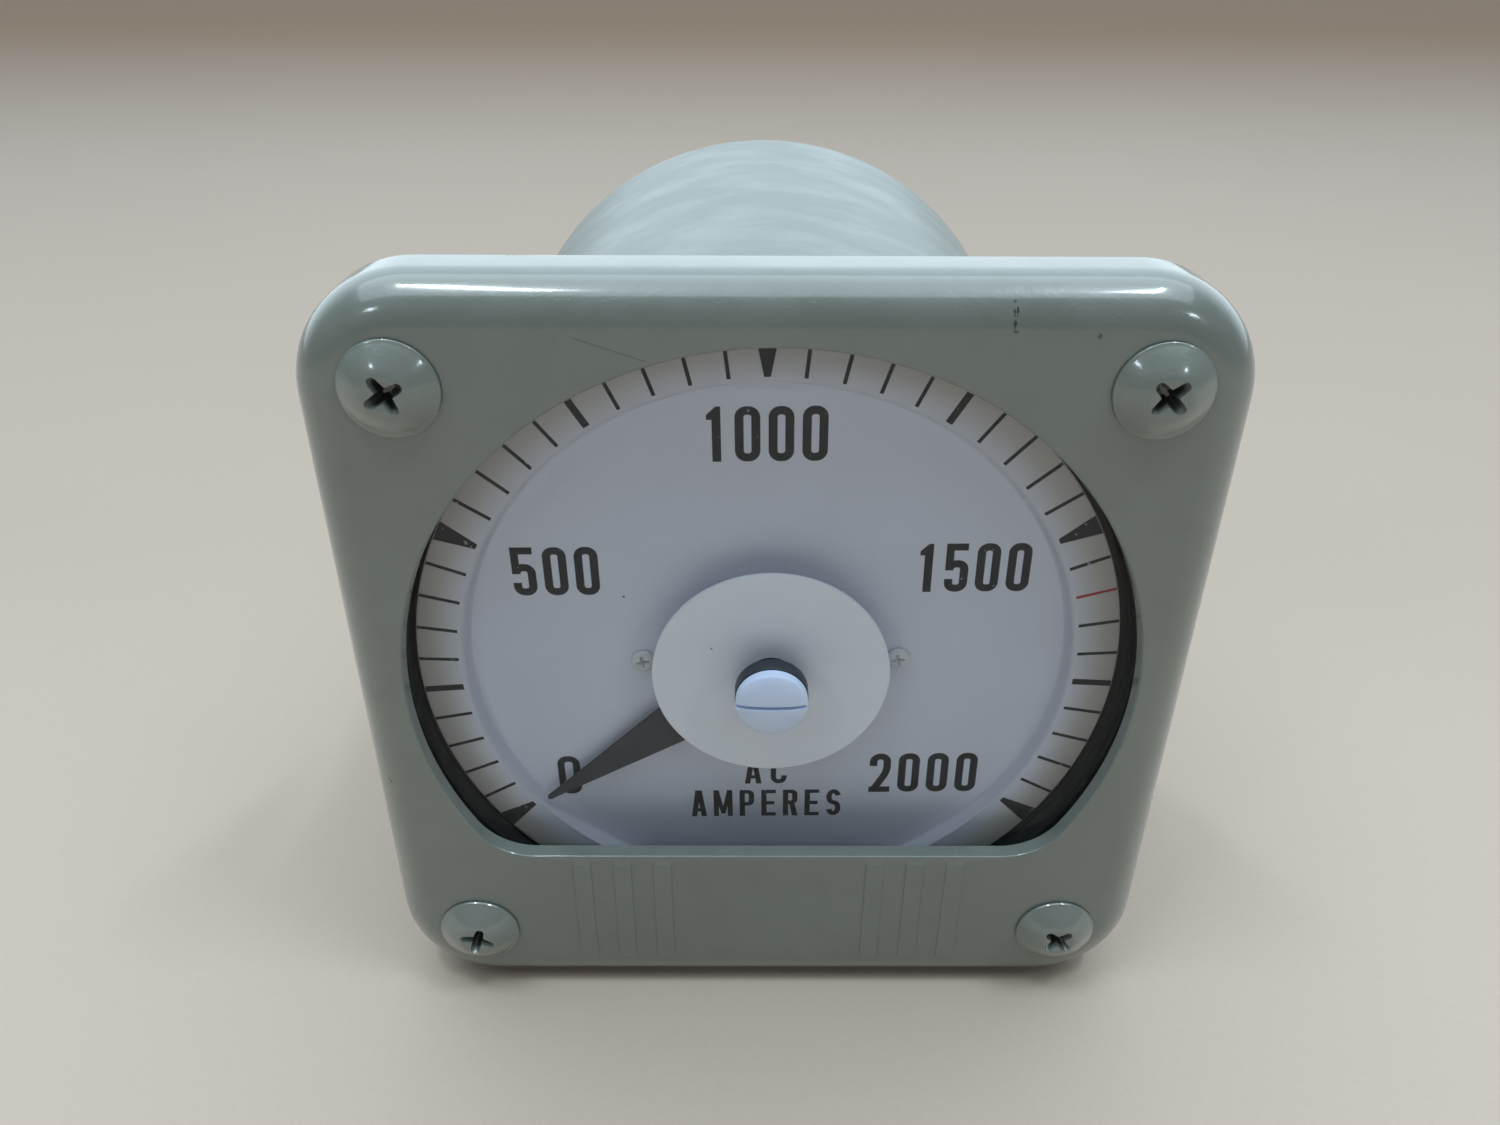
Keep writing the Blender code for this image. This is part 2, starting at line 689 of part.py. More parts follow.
def make_frame(aluminium, brass, jewel):
    """Front plate with its bearing boss and dial pillars, rear bridge, posts and bearings."""
    back = FRONT_PLATE + FRONT_PLATE_THICKNESS
    outline = rounded_square(PLATE_HALF, 0.004, 4)
    bearing_radius = 0.0021
    holes = [circle(bearing_radius, 20), *plate_holes(0.0014)]
    front = make_object("front_plate", plate(outline, holes, FRONT_PLATE, back), aluminium)
    boss = ring(bearing_radius, 0.0030, FRONT_PLATE - 0.0015, FRONT_PLATE + 0.0001, 20)
    add_shape(front, boss, "front_plate_boss")
    for side, sign in SIDES.items():
        place = Matrix.Rotation(DIAL_TURN, 3, "Y") @ Vector((sign * DIAL_SCREW_RADIUS, 0.0, 0.0))
        pillar = ring(
            0.00112,
            0.0025,
            DIAL_FRONT + DIAL_THICKNESS + GAP,
            FRONT_PLATE + 0.0001,
            16,
            (place.x, place.z),
        )
        add_shape(front, pillar, f"front_plate_pillar_{side}")
        bore = disc(0.00112, FRONT_PLATE - 0.001, back + 0.001, 16, (place.x, place.z))
        cut(front, bore, f"front_plate_bore_{side}")

    bearing = ring(0.00075, 0.0020, FRONT_PLATE - 0.0014, back + 0.0002, 20)
    make_object("front_jewel", bearing, jewel)

    bridge_back = REAR_BRIDGE + 0.002
    lead_holes = [circle(0.004, 16, (sign * STUD_HALF_PITCH, 0.0)) for sign in SIDES.values()]
    holes = [circle(0.0022, 20), *plate_holes(POST_RADIUS + GAP), *lead_holes]
    make_object("rear_bridge", plate(outline, holes, REAR_BRIDGE, bridge_back), aluminium)
    cup = SHAFT_BACK + 0.0002
    profile = [
        (0.0, cup),
        (0.0009, cup - 0.0009),
        (0.0020, cup - 0.0009),
        (0.0020, bridge_back + 0.003),
        (0.0, bridge_back + 0.003),
    ]
    rear = make_object("rear_jewel_screw", turned(profile, 20), brass)
    slot = box(0.003, (bridge_back + 0.002, bridge_back + 0.004), (-0.0004, 0.0004))
    cut(rear, slot, "rear_jewel_screw_slot")

    for corner, place in zip(CORNERS, post_places()):
        profile = [
            (0.0, back + GAP - 0.0012),
            (0.0012, back + GAP - 0.0012),
            (0.0012, back + GAP),
            (POST_RADIUS, back + GAP),
            (POST_RADIUS, BASE_FRONT - GAP),
            (0.0, BASE_FRONT - GAP),
        ]
        post = turned(profile, 16)
        make_object(f"frame_post_{corner}", post, brass, (place[0], 0.0, place[1]))


def make_coil(phenolic, copper, iron):
    outline = rounded_square(PLATE_HALF, 0.004, 4)
    flange = 0.0015
    tube = BOBBIN_BORE + 0.0017
    holes = [circle(BOBBIN_BORE, 28), *plate_holes(POST_RADIUS + GAP)]
    bobbin = plate(outline, holes, BOBBIN_FRONT, BOBBIN_FRONT + flange)
    bobbin_object = make_object("coil_bobbin", bobbin, phenolic)
    lead_holes = [circle(0.0018, 12, (sign * STUD_HALF_PITCH, 0.0)) for sign in SIDES.values()]
    rear = plate(outline, holes + lead_holes, BOBBIN_BACK - flange, BOBBIN_BACK)
    add_shape(bobbin_object, rear, "coil_bobbin_rear")
    middle = ring(BOBBIN_BORE, tube, BOBBIN_FRONT + 0.0005, BOBBIN_BACK - 0.0005, 28)
    add_shape(bobbin_object, middle, "coil_bobbin_tube")

    front, back = BOBBIN_FRONT + flange + GAP, BOBBIN_BACK - flange - GAP
    make_object("coil_winding", ring(tube + GAP, COIL_RADIUS, front, back, 32), copper)

    outer, inner = BOBBIN_BORE - 0.0005, BOBBIN_BORE - 0.0012
    sweep = math.radians(75)
    points = arc(outer, -sweep, sweep, 14) + arc(inner, sweep, -sweep, 14)
    vane = plate(points, [], BOBBIN_FRONT + 0.003, BOBBIN_BACK - 0.003)
    make_object("fixed_vane", vane, iron)


def make_damping_magnet(magnet_steel):
    """A C-shaped magnet whose jaws stand either side of the damping disc's edge."""
    foot = FRONT_PLATE + FRONT_PLATE_THICKNESS + GAP
    jaw_tip, yoke, top = 0.012, 0.0225, 0.029
    near, far = DAMPING_DISC_FRONT - 0.0008, DAMPING_DISC_FRONT + 0.0014
    side = [(foot, jaw_tip), (near, jaw_tip), (near, yoke), (far, yoke), (far, jaw_tip)]
    side += [(0.0255, jaw_tip), (0.0255, top), (foot, top)]
    bm = bmesh.new()
    faces = []
    for x in (-0.007, 0.007):
        faces.append([bm.verts.new((x, depth, z)) for depth, z in side])
    skin(bm, *faces)
    for verts in faces:
        bm.faces.new(verts)
    make_object("damping_magnet", bm, magnet_steel)


def make_terminals(phenolic, brass, steel):
    base = disc(BASE_RADIUS, BASE_FRONT, BASE_BACK, 40)
    base_object = make_object("terminal_base", base, phenolic)
    boss = plate(rear_opening(0.0), [], BASE_BACK - 0.001, BOSS_BACK)
    add_shape(base_object, boss, "terminal_base_boss")
    bores = []
    for sign in SIDES.values():
        centre = (sign * STUD_HALF_PITCH, 0.0)
        bores.append(disc(STUD_RADIUS + GAP, BASE_FRONT - 0.001, BOSS_BACK + 0.001, 20, centre))
    for place in base_screw_places():
        bores.append(disc(CASE_SCREW_RADIUS + 0.0002, BASE_BACK - 0.005, BASE_BACK + 0.001, 12, place))
    cut(base_object, merged(*bores), "terminal_base_bores")
    for index, place in enumerate(base_screw_places()):
        spacer_front, spacer_back = BASE_BACK + 0.0002, CASE_BACK - CASE_WALL - 0.0002
        spacer = ring(CASE_SCREW_RADIUS + 0.0005, 0.005, spacer_front, spacer_back, 20)
        label = "upper" if index == 0 else "lower"
        make_object(f"case_spacer_{label}", spacer, steel, (place[0], 0.0, place[1]))
        profile = [
            (0.0, CASE_BACK + 0.0019),
            (0.0016, CASE_BACK + 0.0019),
            (0.0034, CASE_BACK + 0.0008),
            (0.0034, CASE_BACK + FINE_GAP),
            (CASE_SCREW_RADIUS, CASE_BACK + FINE_GAP),
            (CASE_SCREW_RADIUS, BASE_BACK - 0.0045),
            (0.0, BASE_BACK - 0.0045),
        ]
        screw = make_object(f"case_screw_{label}", turned(profile, 20), steel, (place[0], 0.0, place[1]))
        slot = box(0.004, (CASE_BACK + 0.0011, CASE_BACK + 0.003), (-0.0005, 0.0005), 0.5 + index)
        cut(screw, slot, f"case_screw_{label}_slot")

    for side, sign in SIDES.items():
        place = (sign * STUD_HALF_PITCH, 0.0, 0.0)
        head_back = BASE_FRONT - GAP
        profile = [
            (0.0, head_back - 0.004),
            (0.0054, head_back - 0.004),
            (0.0054, head_back),
            (STUD_RADIUS, head_back),
            (STUD_RADIUS, STUD_END - 0.0008),
            (STUD_RADIUS - 0.0008, STUD_END),
            (0.0, STUD_END),
        ]
        make_object(f"terminal_stud_{side}", turned(profile, 20), brass, place)
        washer_front = BOSS_BACK + GAP
        washer_back = washer_front + STUD_WASHER_THICKNESS
        washer = ring(STUD_RADIUS + GAP, STUD_WASHER_RADIUS, washer_front, washer_back, 28)
        make_object(f"terminal_washer_{side}", washer, brass, place)
        nut_front = washer_back + GAP
        hole = [circle(STUD_RADIUS + FINE_GAP, 20)]
        nut = plate(circle(STUD_NUT_RADIUS, 6), hole, nut_front, nut_front + STUD_NUT_THICKNESS)
        make_object(f"terminal_nut_{side}", nut, brass, place)


def make_leads(copper):
    """A stiff wire from the coil's rear to the head of each terminal stud."""
    start = BOBBIN_BACK - 0.0004
    end = BASE_FRONT - GAP - 0.004 - GAP
    bow = 0.0012
    count = 12
    for side, sign in SIDES.items():
        curve = bpy.data.curves.new(f"coil_lead_{side}", "CURVE")
        curve.dimensions = "3D"
        curve.bevel_depth = 0.0012
        curve.bevel_resolution = 2
        curve.use_fill_caps = True
        spline = curve.splines.new("POLY")
        spline.points.add(count)
        for i, point in enumerate(spline.points):
            share = i / count
            z = bow * math.sin(2 * math.pi * share)
            point.co = (0.0, start + (end - start) * share, z, 1.0)
        curve.materials.append(copper)
        lead = bpy.data.objects.new(f"coil_lead_{side}", curve)
        bpy.context.scene.collection.objects.link(lead)
        lead.location = AXIS_PLACE + Vector((sign * STUD_HALF_PITCH, 0.0, 0.0))


def main():
    clear_scene()
    paint = make_material("grey_green_paint", (0.30, 0.36, 0.33), 0.45)
    screw_paint = make_material("painted_screw", (0.30, 0.36, 0.33), 0.4)
    glass = make_material("window_glass", (0.95, 0.97, 0.98), 0.02, alpha=0.15)
    rubber = make_material("black_rubber", (0.02, 0.02, 0.022), 0.8)
    dial_white = make_material("dial_white", (0.72, 0.71, 0.75), 0.55)
    screw_white = make_material("dial_screw_white", (0.66, 0.65, 0.64), 0.4)
    hub_white = make_material("hub_white", (0.80, 0.80, 0.80), 0.45)
    adjuster_white = make_material("adjuster_white", (0.86, 0.87, 0.90), 0.3)
    black = make_material("pointer_black", (0.05, 0.05, 0.06), 0.5)
    nylon = make_material("black_nylon", (0.02, 0.02, 0.025), 0.5)
    steel = make_material("zinc_steel", (0.62, 0.62, 0.60), 0.35, 1.0)
    iron = make_material("soft_iron", (0.38, 0.38, 0.38), 0.5, 1.0)
    aluminium = make_material("aluminium", (0.78, 0.78, 0.79), 0.35, 1.0)
    brass = make_material("brass", (0.75, 0.60, 0.30), 0.3, 1.0)
    bronze = make_material("spring_bronze", (0.65, 0.42, 0.22), 0.3, 1.0)
    copper = make_material("enamelled_copper", (0.48, 0.20, 0.09), 0.35, 0.6)
    magnet_steel = make_material("magnet_steel", (0.30, 0.30, 0.32), 0.45, 0.9)
    phenolic = make_material("black_phenolic", (0.03, 0.028, 0.026), 0.4)
    jewel = make_material("jewel", (0.45, 0.04, 0.08), 0.1)

    pointer_axis = make_empty("pointer_axis", AXIS_PLACE, REST_ANGLE)
    adjuster_axis = make_empty("adjuster_axis", AXIS_PLACE)

    make_flange_cover(paint)
    make_window(glass, rubber)
    make_mounting_plate(paint)
    make_case(paint)
    make_panel_gasket(rubber)
    make_mounting_hardware(screw_paint, steel)
    make_dial(dial_white, screw_white)
    clip_back = make_hub(hub_white, nylon, steel)
    make_adjuster(adjuster_white, brass, clip_back, adjuster_axis)
    make_zero_lever(brass, adjuster_axis)
    make_hairspring(bronze)
    make_pointer(black, brass, pointer_axis)
    make_moving_element(steel, brass, aluminium, iron, pointer_axis)
    make_frame(aluminium, brass, jewel)
    make_coil(phenolic, copper, iron)
    make_damping_magnet(magnet_steel)
    make_terminals(phenolic, brass, steel)
    make_leads(copper)


main()
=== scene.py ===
import math

import bmesh
import bpy
from mathutils import Matrix, Vector, geometry


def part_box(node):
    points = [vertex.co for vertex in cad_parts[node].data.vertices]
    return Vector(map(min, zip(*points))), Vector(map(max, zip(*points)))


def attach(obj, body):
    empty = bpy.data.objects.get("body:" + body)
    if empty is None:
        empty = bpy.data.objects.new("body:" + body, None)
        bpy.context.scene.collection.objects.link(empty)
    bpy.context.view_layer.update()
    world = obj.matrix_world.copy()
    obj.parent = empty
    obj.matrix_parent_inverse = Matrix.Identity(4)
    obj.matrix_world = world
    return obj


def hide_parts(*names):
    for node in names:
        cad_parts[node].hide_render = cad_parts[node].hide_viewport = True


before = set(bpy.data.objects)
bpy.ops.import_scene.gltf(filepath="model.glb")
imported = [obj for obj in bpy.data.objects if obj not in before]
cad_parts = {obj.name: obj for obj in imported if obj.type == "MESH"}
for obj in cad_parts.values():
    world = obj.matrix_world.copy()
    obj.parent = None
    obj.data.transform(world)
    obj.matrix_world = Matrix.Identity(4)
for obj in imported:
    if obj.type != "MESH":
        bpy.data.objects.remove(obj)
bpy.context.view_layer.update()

# The dial's axis and the flange's front face. Depths run back from that face.
FLANGE_LOW, FLANGE_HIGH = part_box("flange_cover")
FACE_Y = FLANGE_LOW.y
AXIS_Z = (FLANGE_LOW.z + FLANGE_HIGH.z) / 2
FLANGE_HALF = FLANGE_HIGH.x
FLANGE_DEPTH = FLANGE_HIGH.y - FACE_Y


def depths(node):
    """Front and back of a CAD node, as depths behind the flange's face."""
    low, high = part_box(node)
    return low.y - FACE_Y, high.y - FACE_Y


def centre_of(node):
    """Where a CAD node's middle stands off the dial's axis, as (x, z)."""
    low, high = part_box(node)
    return (low.x + high.x) / 2, (low.z + high.z) / 2 - AXIS_Z


def radius_of(node):
    low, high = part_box(node)
    return (high.x - low.x) / 2


# Flange cover
FLANGE_CORNER = 0.0148
FLANGE_EDGE_ROUND = 0.006
FLANGE_BACK_EDGE = 0.0004
FACE_THICKNESS = 0.00235
SKIRT_THICKNESS = 0.003
BOSS_RADIUS = 0.0055
BOSS_GAP = 0.0003
SCREW_HOLE_RADIUS = 0.00275
LIP_ROUND = 0.00035
BAR_PITCH = 0.006
BAR_WIDTH = 0.00275
BAR_FIRST = 0.0159
BAR_TOP = -0.0301
BAR_HEIGHT = 0.00016
BAR_SLOPE = 0.00008
BAR_END_SLOPE = 8 * BAR_SLOPE

# Mounting screws: a domed head with a dimple in the middle, and a threaded shank
DIMPLE_RADIUS = 0.0023
DIMPLE_DEPTH = 0.00042
HEAD_RIM = 0.0004
HEAD_SEAT = -0.00012
SHANK_RADIUS = 0.0024
THREAD_START = 0.0112
RECESS_TURNS = {"tl": 30, "tr": 45, "bl": -17, "br": 45}

# Window
WINDOW_RADIUS = 0.0494
WINDOW_CHORD = 0.0293
WINDOW_CORNER = 0.0095

# Dial and its print, in the dial's own frame
DIAL_TURN = math.radians(-0.75)
DIAL_SHIFT = -0.0004
DIAL_HOLE_RADIUS = 0.011
DIAL_STEP_INNER = 0.0421
DIAL_STEP_OUTER = 0.0425
SCALE_HALF_ANGLE = math.radians(125)
SCALE_DIVISIONS = 40
RED_DIVISION = 32
TICK_INNER = 0.0433
TICK_OUTER = 0.0488
INK = 0.000012
DIAL_THICKNESS = 0.0008

# Moving element
REST_ANGLE = math.radians(-126.5)

CORNERS = {"tl": (-1, 1), "tr": (1, 1), "bl": (-1, -1), "br": (1, -1)}
SIDES = {"left": -1, "right": 1}
EVEN = (1.0, 1.0, 1.0)

# Outlines, as (x, z) points round the dial's axis


def arc(radius, start, end, steps, centre=(0.0, 0.0), radius_z=None):
    points = []
    for i in range(steps + 1):
        angle = start + (end - start) * i / steps
        x = centre[0] + radius * math.cos(angle)
        points.append((x, centre[1] + (radius_z or radius) * math.sin(angle)))
    return points


def circle(radius, segments, centre=(0.0, 0.0)):
    return arc(radius, 0.0, 2 * math.pi * (1 - 1 / segments), segments - 1, centre)


def rounded_rectangle(half_x, half_z, corner, steps=8, centre=(0.0, 0.0)):
    points = []
    for quarter in range(4):
        middle = math.pi / 4 + quarter * math.pi / 2
        x = centre[0] + math.copysign(half_x - corner, math.cos(middle))
        z = centre[1] + math.copysign(half_z - corner, math.sin(middle))
        points += arc(corner, middle - math.pi / 4, middle + math.pi / 4, steps, (x, z))
    return points


def window_outline(grow=0.0, steps=120, corner_steps=14):
    """A circle cut by a level chord, with a fillet where they meet, moved outwards by grow."""
    radius, corner = WINDOW_RADIUS + grow, WINDOW_CORNER + grow
    fillet_z = WINDOW_CORNER - WINDOW_CHORD
    fillet_x = math.sqrt((WINDOW_RADIUS - WINDOW_CORNER) ** 2 - fillet_z**2)
    meet = math.atan2(fillet_z, fillet_x)
    points = arc(radius, meet, math.pi - meet, steps)
    down = 1.5 * math.pi
    points += arc(corner, math.pi - meet, down, corner_steps, (-fillet_x, fillet_z))[1:]
    points += arc(corner, down, 2 * math.pi + meet, corner_steps, (fillet_x, fillet_z))[:-1]
    return points


def ribbon(line, width):
    """The outline of a stroke of even width along a line of points."""
    left, right = [], []
    for i, (x, z) in enumerate(line):
        before, after = line[max(i - 1, 0)], line[min(i + 1, len(line) - 1)]
        along = Vector((after[0] - before[0], after[1] - before[1])).normalized() * width / 2
        left.append((x - along.y, z + along.x))
        right.append((x + along.y, z - along.x))
    return left + right[::-1]


def bezier(start, control, end, steps=14):
    points = []
    for i in range(steps + 1):
        t = i / steps
        a, b, c = (1 - t) ** 2, 2 * t * (1 - t), t * t
        points.append(tuple(a * start[k] + b * control[k] + c * end[k] for k in range(2)))
    return points


def tube(inner, outer, front, back):
    """The profile of a ring with square edges."""
    return [(inner, front), (outer, front), (outer, back), (inner, back)]


# Mesh building. A mesh is made at its real place, so its object stays at the origin.


def place_of(x, depth, z):
    return Vector((x, FACE_Y + depth, AXIS_Z + z))


def add_loop(bm, points, depth):
    """A ring of points at one depth, or at a depth for each point."""
    heights = depth if isinstance(depth, list) else [depth] * len(points)
    return [bm.verts.new(place_of(x, d, z)) for (x, z), d in zip(points, heights)]


def skin(bm, *loops):
    """Joins rings of the same count with quads."""
    for first, second in zip(loops, loops[1:]):
        count = len(first)
        for i in range(count):
            j = (i + 1) % count
            bm.faces.new((first[i], first[j], second[j], second[i]))


def fill(bm, *loops):
    """Fills the flat area between an outer ring and the rings inside it."""
    edges = []
    for verts in loops:
        for i, vert in enumerate(verts):
            pair = (vert, verts[(i + 1) % len(verts)])
            edges.append(bm.edges.get(pair) or bm.edges.new(pair))
    bmesh.ops.triangle_fill(bm, edges=edges, use_beauty=True, use_dissolve=False)


def turned(profile, segments, centre=(0.0, 0.0)):
    """A turned solid from (radius, depth) points, which close on themselves or on the axis."""
    bm = bmesh.new()
    rings = []
    for radius, depth in profile:
        if radius > 0:
            rings.append(add_loop(bm, circle(radius, segments, centre), depth))
        else:
            rings.append([bm.verts.new(place_of(centre[0], depth, centre[1]))])
    closed = profile[0][0] > 0
    for first, second in zip(rings, rings[1:] + rings[:1] if closed else rings[1:]):
        if len(first) == len(second) == segments:
            skin(bm, first, second)
        else:
            hub, rim = (first[0], second) if len(first) == 1 else (second[0], first)
            for i in range(segments):
                bm.faces.new((hub, rim[i], rim[(i + 1) % segments]))
    return bm


def softened(profile, round_at, steps=4):
    """The profile with a round of the given radius at some of its corners, {index: radius}."""
    points = []
    for i, point in enumerate(profile):
        if i not in round_at:
            points.append(point)
            continue
        here = Vector(point)
        before = Vector(profile[i - 1]) - here
        after = Vector(profile[(i + 1) % len(profile)]) - here
        reach = round_at[i] / math.tan(before.angle(after) / 2)
        start, end = here + before.normalized() * reach, here + after.normalized() * reach
        points += bezier(start, here, end, steps)
    return points


def anticlockwise(outline):
    pairs = zip(outline[-1:] + outline, outline)
    doubled_area = sum(a[0] * b[1] - b[0] * a[1] for a, b in pairs)
    return outline if doubled_area > 0 else outline[::-1]


def flat_solid(solids, holes, front, back):
    """One plate from overlapping outlines, less the holes, with straight sides."""
    points, faces = [], []
    for outline in map(anticlockwise, solids + holes):
        faces.append(list(range(len(points), len(points) + len(outline))))
        points += [Vector(point) for point in outline]
    verts, _, triangles, _, _, owners = geometry.delaunay_2d_cdt(points, [], faces, 1, 1e-7)
    kept = []
    for triangle, owner in zip(triangles, owners):
        if any(i < len(solids) for i in owner) and not any(i >= len(solids) for i in owner):
            kept.append(triangle)
    bm = bmesh.new()
    near = [bm.verts.new(place_of(v.x, front, v.y)) for v in verts]
    far = [bm.verts.new(place_of(v.x, back, v.y)) for v in verts]
    sides = {}
    for triangle in kept:
        bm.faces.new([near[i] for i in triangle])
        bm.faces.new([far[i] for i in reversed(triangle)])
        for a, b in zip(triangle, triangle[1:] + triangle[:1]):
            if (b, a) in sides:
                del sides[(b, a)]
            else:
                sides[(a, b)] = True
    for a, b in sides:
        bm.faces.new((near[b], near[a], far[a], far[b]))
    loose = [vert for vert in bm.verts if not vert.link_faces]
    bmesh.ops.delete(bm, geom=loose, context="VERTS")
    return bm


def joined(meshes):
    """Several bmeshes as one."""
    first = meshes[0]
    for other in meshes[1:]:
        scratch = bpy.data.meshes.new("scratch")
        other.to_mesh(scratch)
        other.free()
        first.from_mesh(scratch)
        bpy.data.meshes.remove(scratch)
    return first


def new_object(name, bm, material, smooth_angle=35.0):
    bmesh.ops.remove_doubles(bm, verts=bm.verts, dist=1e-7)
    bmesh.ops.recalc_face_normals(bm, faces=bm.faces)
    mesh = bpy.data.meshes.new(name)
    bm.to_mesh(mesh)
    bm.free()
    mesh.shade_smooth()
    mesh.set_sharp_from_angle(angle=math.radians(smooth_angle))
    mesh.materials.append(material)
    piece = bpy.data.objects.new(name, mesh)
    bpy.context.scene.collection.objects.link(piece)
    return piece


def add_piece(name, bm, material, replaced=(), body="housing", cutters=()):
    """A finished piece on its body. Cutters are closed shapes that are taken out of it."""
    piece = new_object(name, bm, material)
    for cutter_bm in cutters:
        cutter = new_object("cutter", cutter_bm, material)
        modifier = piece.modifiers.new("cut", "BOOLEAN")
        modifier.object = cutter
        modifier.operation = "DIFFERENCE"
        modifier.solver = "EXACT"
        graph = bpy.context.evaluated_depsgraph_get()
        cut_mesh = bpy.data.meshes.new_from_object(piece.evaluated_get(graph))
        piece.modifiers.clear()
        piece.data = cut_mesh
        bpy.data.objects.remove(cutter)
        piece.data.set_sharp_from_angle(angle=math.radians(35))
    even = piece.modifiers.new("face_weighted_normals", "WEIGHTED_NORMAL")
    even.keep_sharp = True
    even.weight = 100
    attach(piece, body)
    if replaced:
        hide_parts(*replaced)
    return piece


# Materials


def add_node(tree, kind, inputs=None, **settings):
    """A shader node with its settings, and with values in some of its inputs."""
    made = tree.nodes.new(f"ShaderNode{kind}")
    for name, value in settings.items():
        setattr(made, name, value)
    for name, value in (inputs or {}).items():
        made.inputs[name].default_value = value
    return made


class Finish:
    """A Principled material whose colour, roughness and relief come from noise."""

    def __init__(self, name, colour, roughness, metallic=0.0):
        self.material = bpy.data.materials.new(name)
        self.material.use_nodes = True
        self.tree = self.material.node_tree
        self.shader = self.tree.nodes["Principled BSDF"]
        self.colour = (*colour, 1.0)
        self.set({"Base Color": self.colour, "Roughness": roughness, "Metallic": metallic})
        self.place = self.node("TexCoord").outputs["Object"]
        self.bump = None

    def set(self, values):
        for name, value in values.items():
            self.shader.inputs[name].default_value = value

    def node(self, kind, inputs=None, **settings):
        return add_node(self.tree, kind, inputs, **settings)

    def link(self, source, target):
        self.tree.links.new(source, target)

    def axes(self):
        """A point's X, Y and Z, as outputs."""
        parts = self.node("SeparateXYZ")
        self.link(self.place, parts.inputs[0])
        return parts.outputs

    def math(self, operation, first, second=None):
        made = self.node("Math", operation=operation)
        for socket, value in zip(made.inputs, (first, second)):
            if isinstance(value, (int, float)):
                socket.default_value = value
            elif value is not None:
                self.link(value, socket)
        return made.outputs[0]

    def noise(self, scale, detail=3.0, vector=None, stretch=None):
        """Noise with this many features a metre, as a 0 to 1 output."""
        vector = vector or self.place
        if stretch:
            mapping = self.node("Mapping", {"Scale": stretch})
            self.link(vector, mapping.inputs["Vector"])
            vector = mapping.outputs[0]
        made = self.node("TexNoise", {"Scale": scale, "Detail": detail})
        self.link(vector, made.inputs["Vector"])
        return made.outputs["Fac"]

    def spread(self, source, low, high, to_low=0.0, to_high=1.0):
        limits = {"From Min": low, "From Max": high, "To Min": to_low, "To Max": to_high}
        made = self.node("MapRange", limits, interpolation_type="SMOOTHSTEP")
        self.link(source, made.inputs["Value"])
        return made.outputs["Result"]

    def tint(self, factor, colour):
        """Mixes a second colour in where factor is high."""
        mix = self.node("Mix", {}, data_type="RGBA")
        base = self.shader.inputs["Base Color"]
        if base.is_linked:
            self.link(base.links[0].from_socket, mix.inputs["A"])
        else:
            mix.inputs["A"].default_value = self.colour
        mix.inputs["B"].default_value = (*colour, 1.0)
        self.link(factor, mix.inputs["Factor"])
        self.link(mix.outputs["Result"], base)
        return self

    def mottle(self, scale, detail, low, high, share, colour):
        """Mixes up to this share of a second colour in where noise is high."""
        return self.tint(self.spread(self.noise(scale, detail), low, high, 0.0, share), colour)

    def rough(self, factor, low, high):
        self.link(self.spread(factor, 0.3, 0.7, low, high), self.shader.inputs["Roughness"])

    def relief(self, height, distance):
        """Adds bumps of this height in metres."""
        made = self.node("Bump", {"Strength": 1.0, "Distance": distance})
        self.link(height, made.inputs["Height"])
        if self.bump:
            self.link(self.bump, made.inputs["Normal"])
        self.bump = made.outputs["Normal"]
        self.link(self.bump, self.shader.inputs["Normal"])

    def distance_from(self, x, depth, z, stretch=EVEN, turn=0.0):
        """Distance from a point, once the axes are turned about Y and then stretched."""
        shift = self.node("VectorMath", {1: place_of(x, depth, z)}, operation="SUBTRACT")
        self.link(self.place, shift.inputs[0])
        if turn:
            spin = self.node("VectorRotate", {"Angle": turn}, rotation_type="Y_AXIS")
            self.link(shift.outputs[0], spin.inputs["Vector"])
            shift = spin
        scale = self.node("VectorMath", {1: stretch}, operation="MULTIPLY")
        self.link(shift.outputs[0], scale.inputs[0])
        length = self.node("VectorMath", operation="LENGTH")
        self.link(scale.outputs[0], length.inputs[0])
        return length.outputs["Value"]

    def spot(self, x, depth, z, radius, colour, stretch=EVEN, ragged=0.5):
        """A small mark of another colour with a ragged edge."""
        wobble = self.spread(self.noise(2200.0, 2.0), 0.3, 0.7, -ragged * radius, ragged * radius)
        reach = self.math("ADD", self.distance_from(x, depth, z, stretch), wobble)
        return self.tint(self.spread(reach, radius, radius * 0.6), colour)


PAINT = (0.146, 0.176, 0.162)
PAINT_DARK = (0.120, 0.145, 0.132)
PAINT_PALE = (0.178, 0.214, 0.200)
CHIP = (0.035, 0.038, 0.034)
CASE_PAINT_RADIUS = 0.052

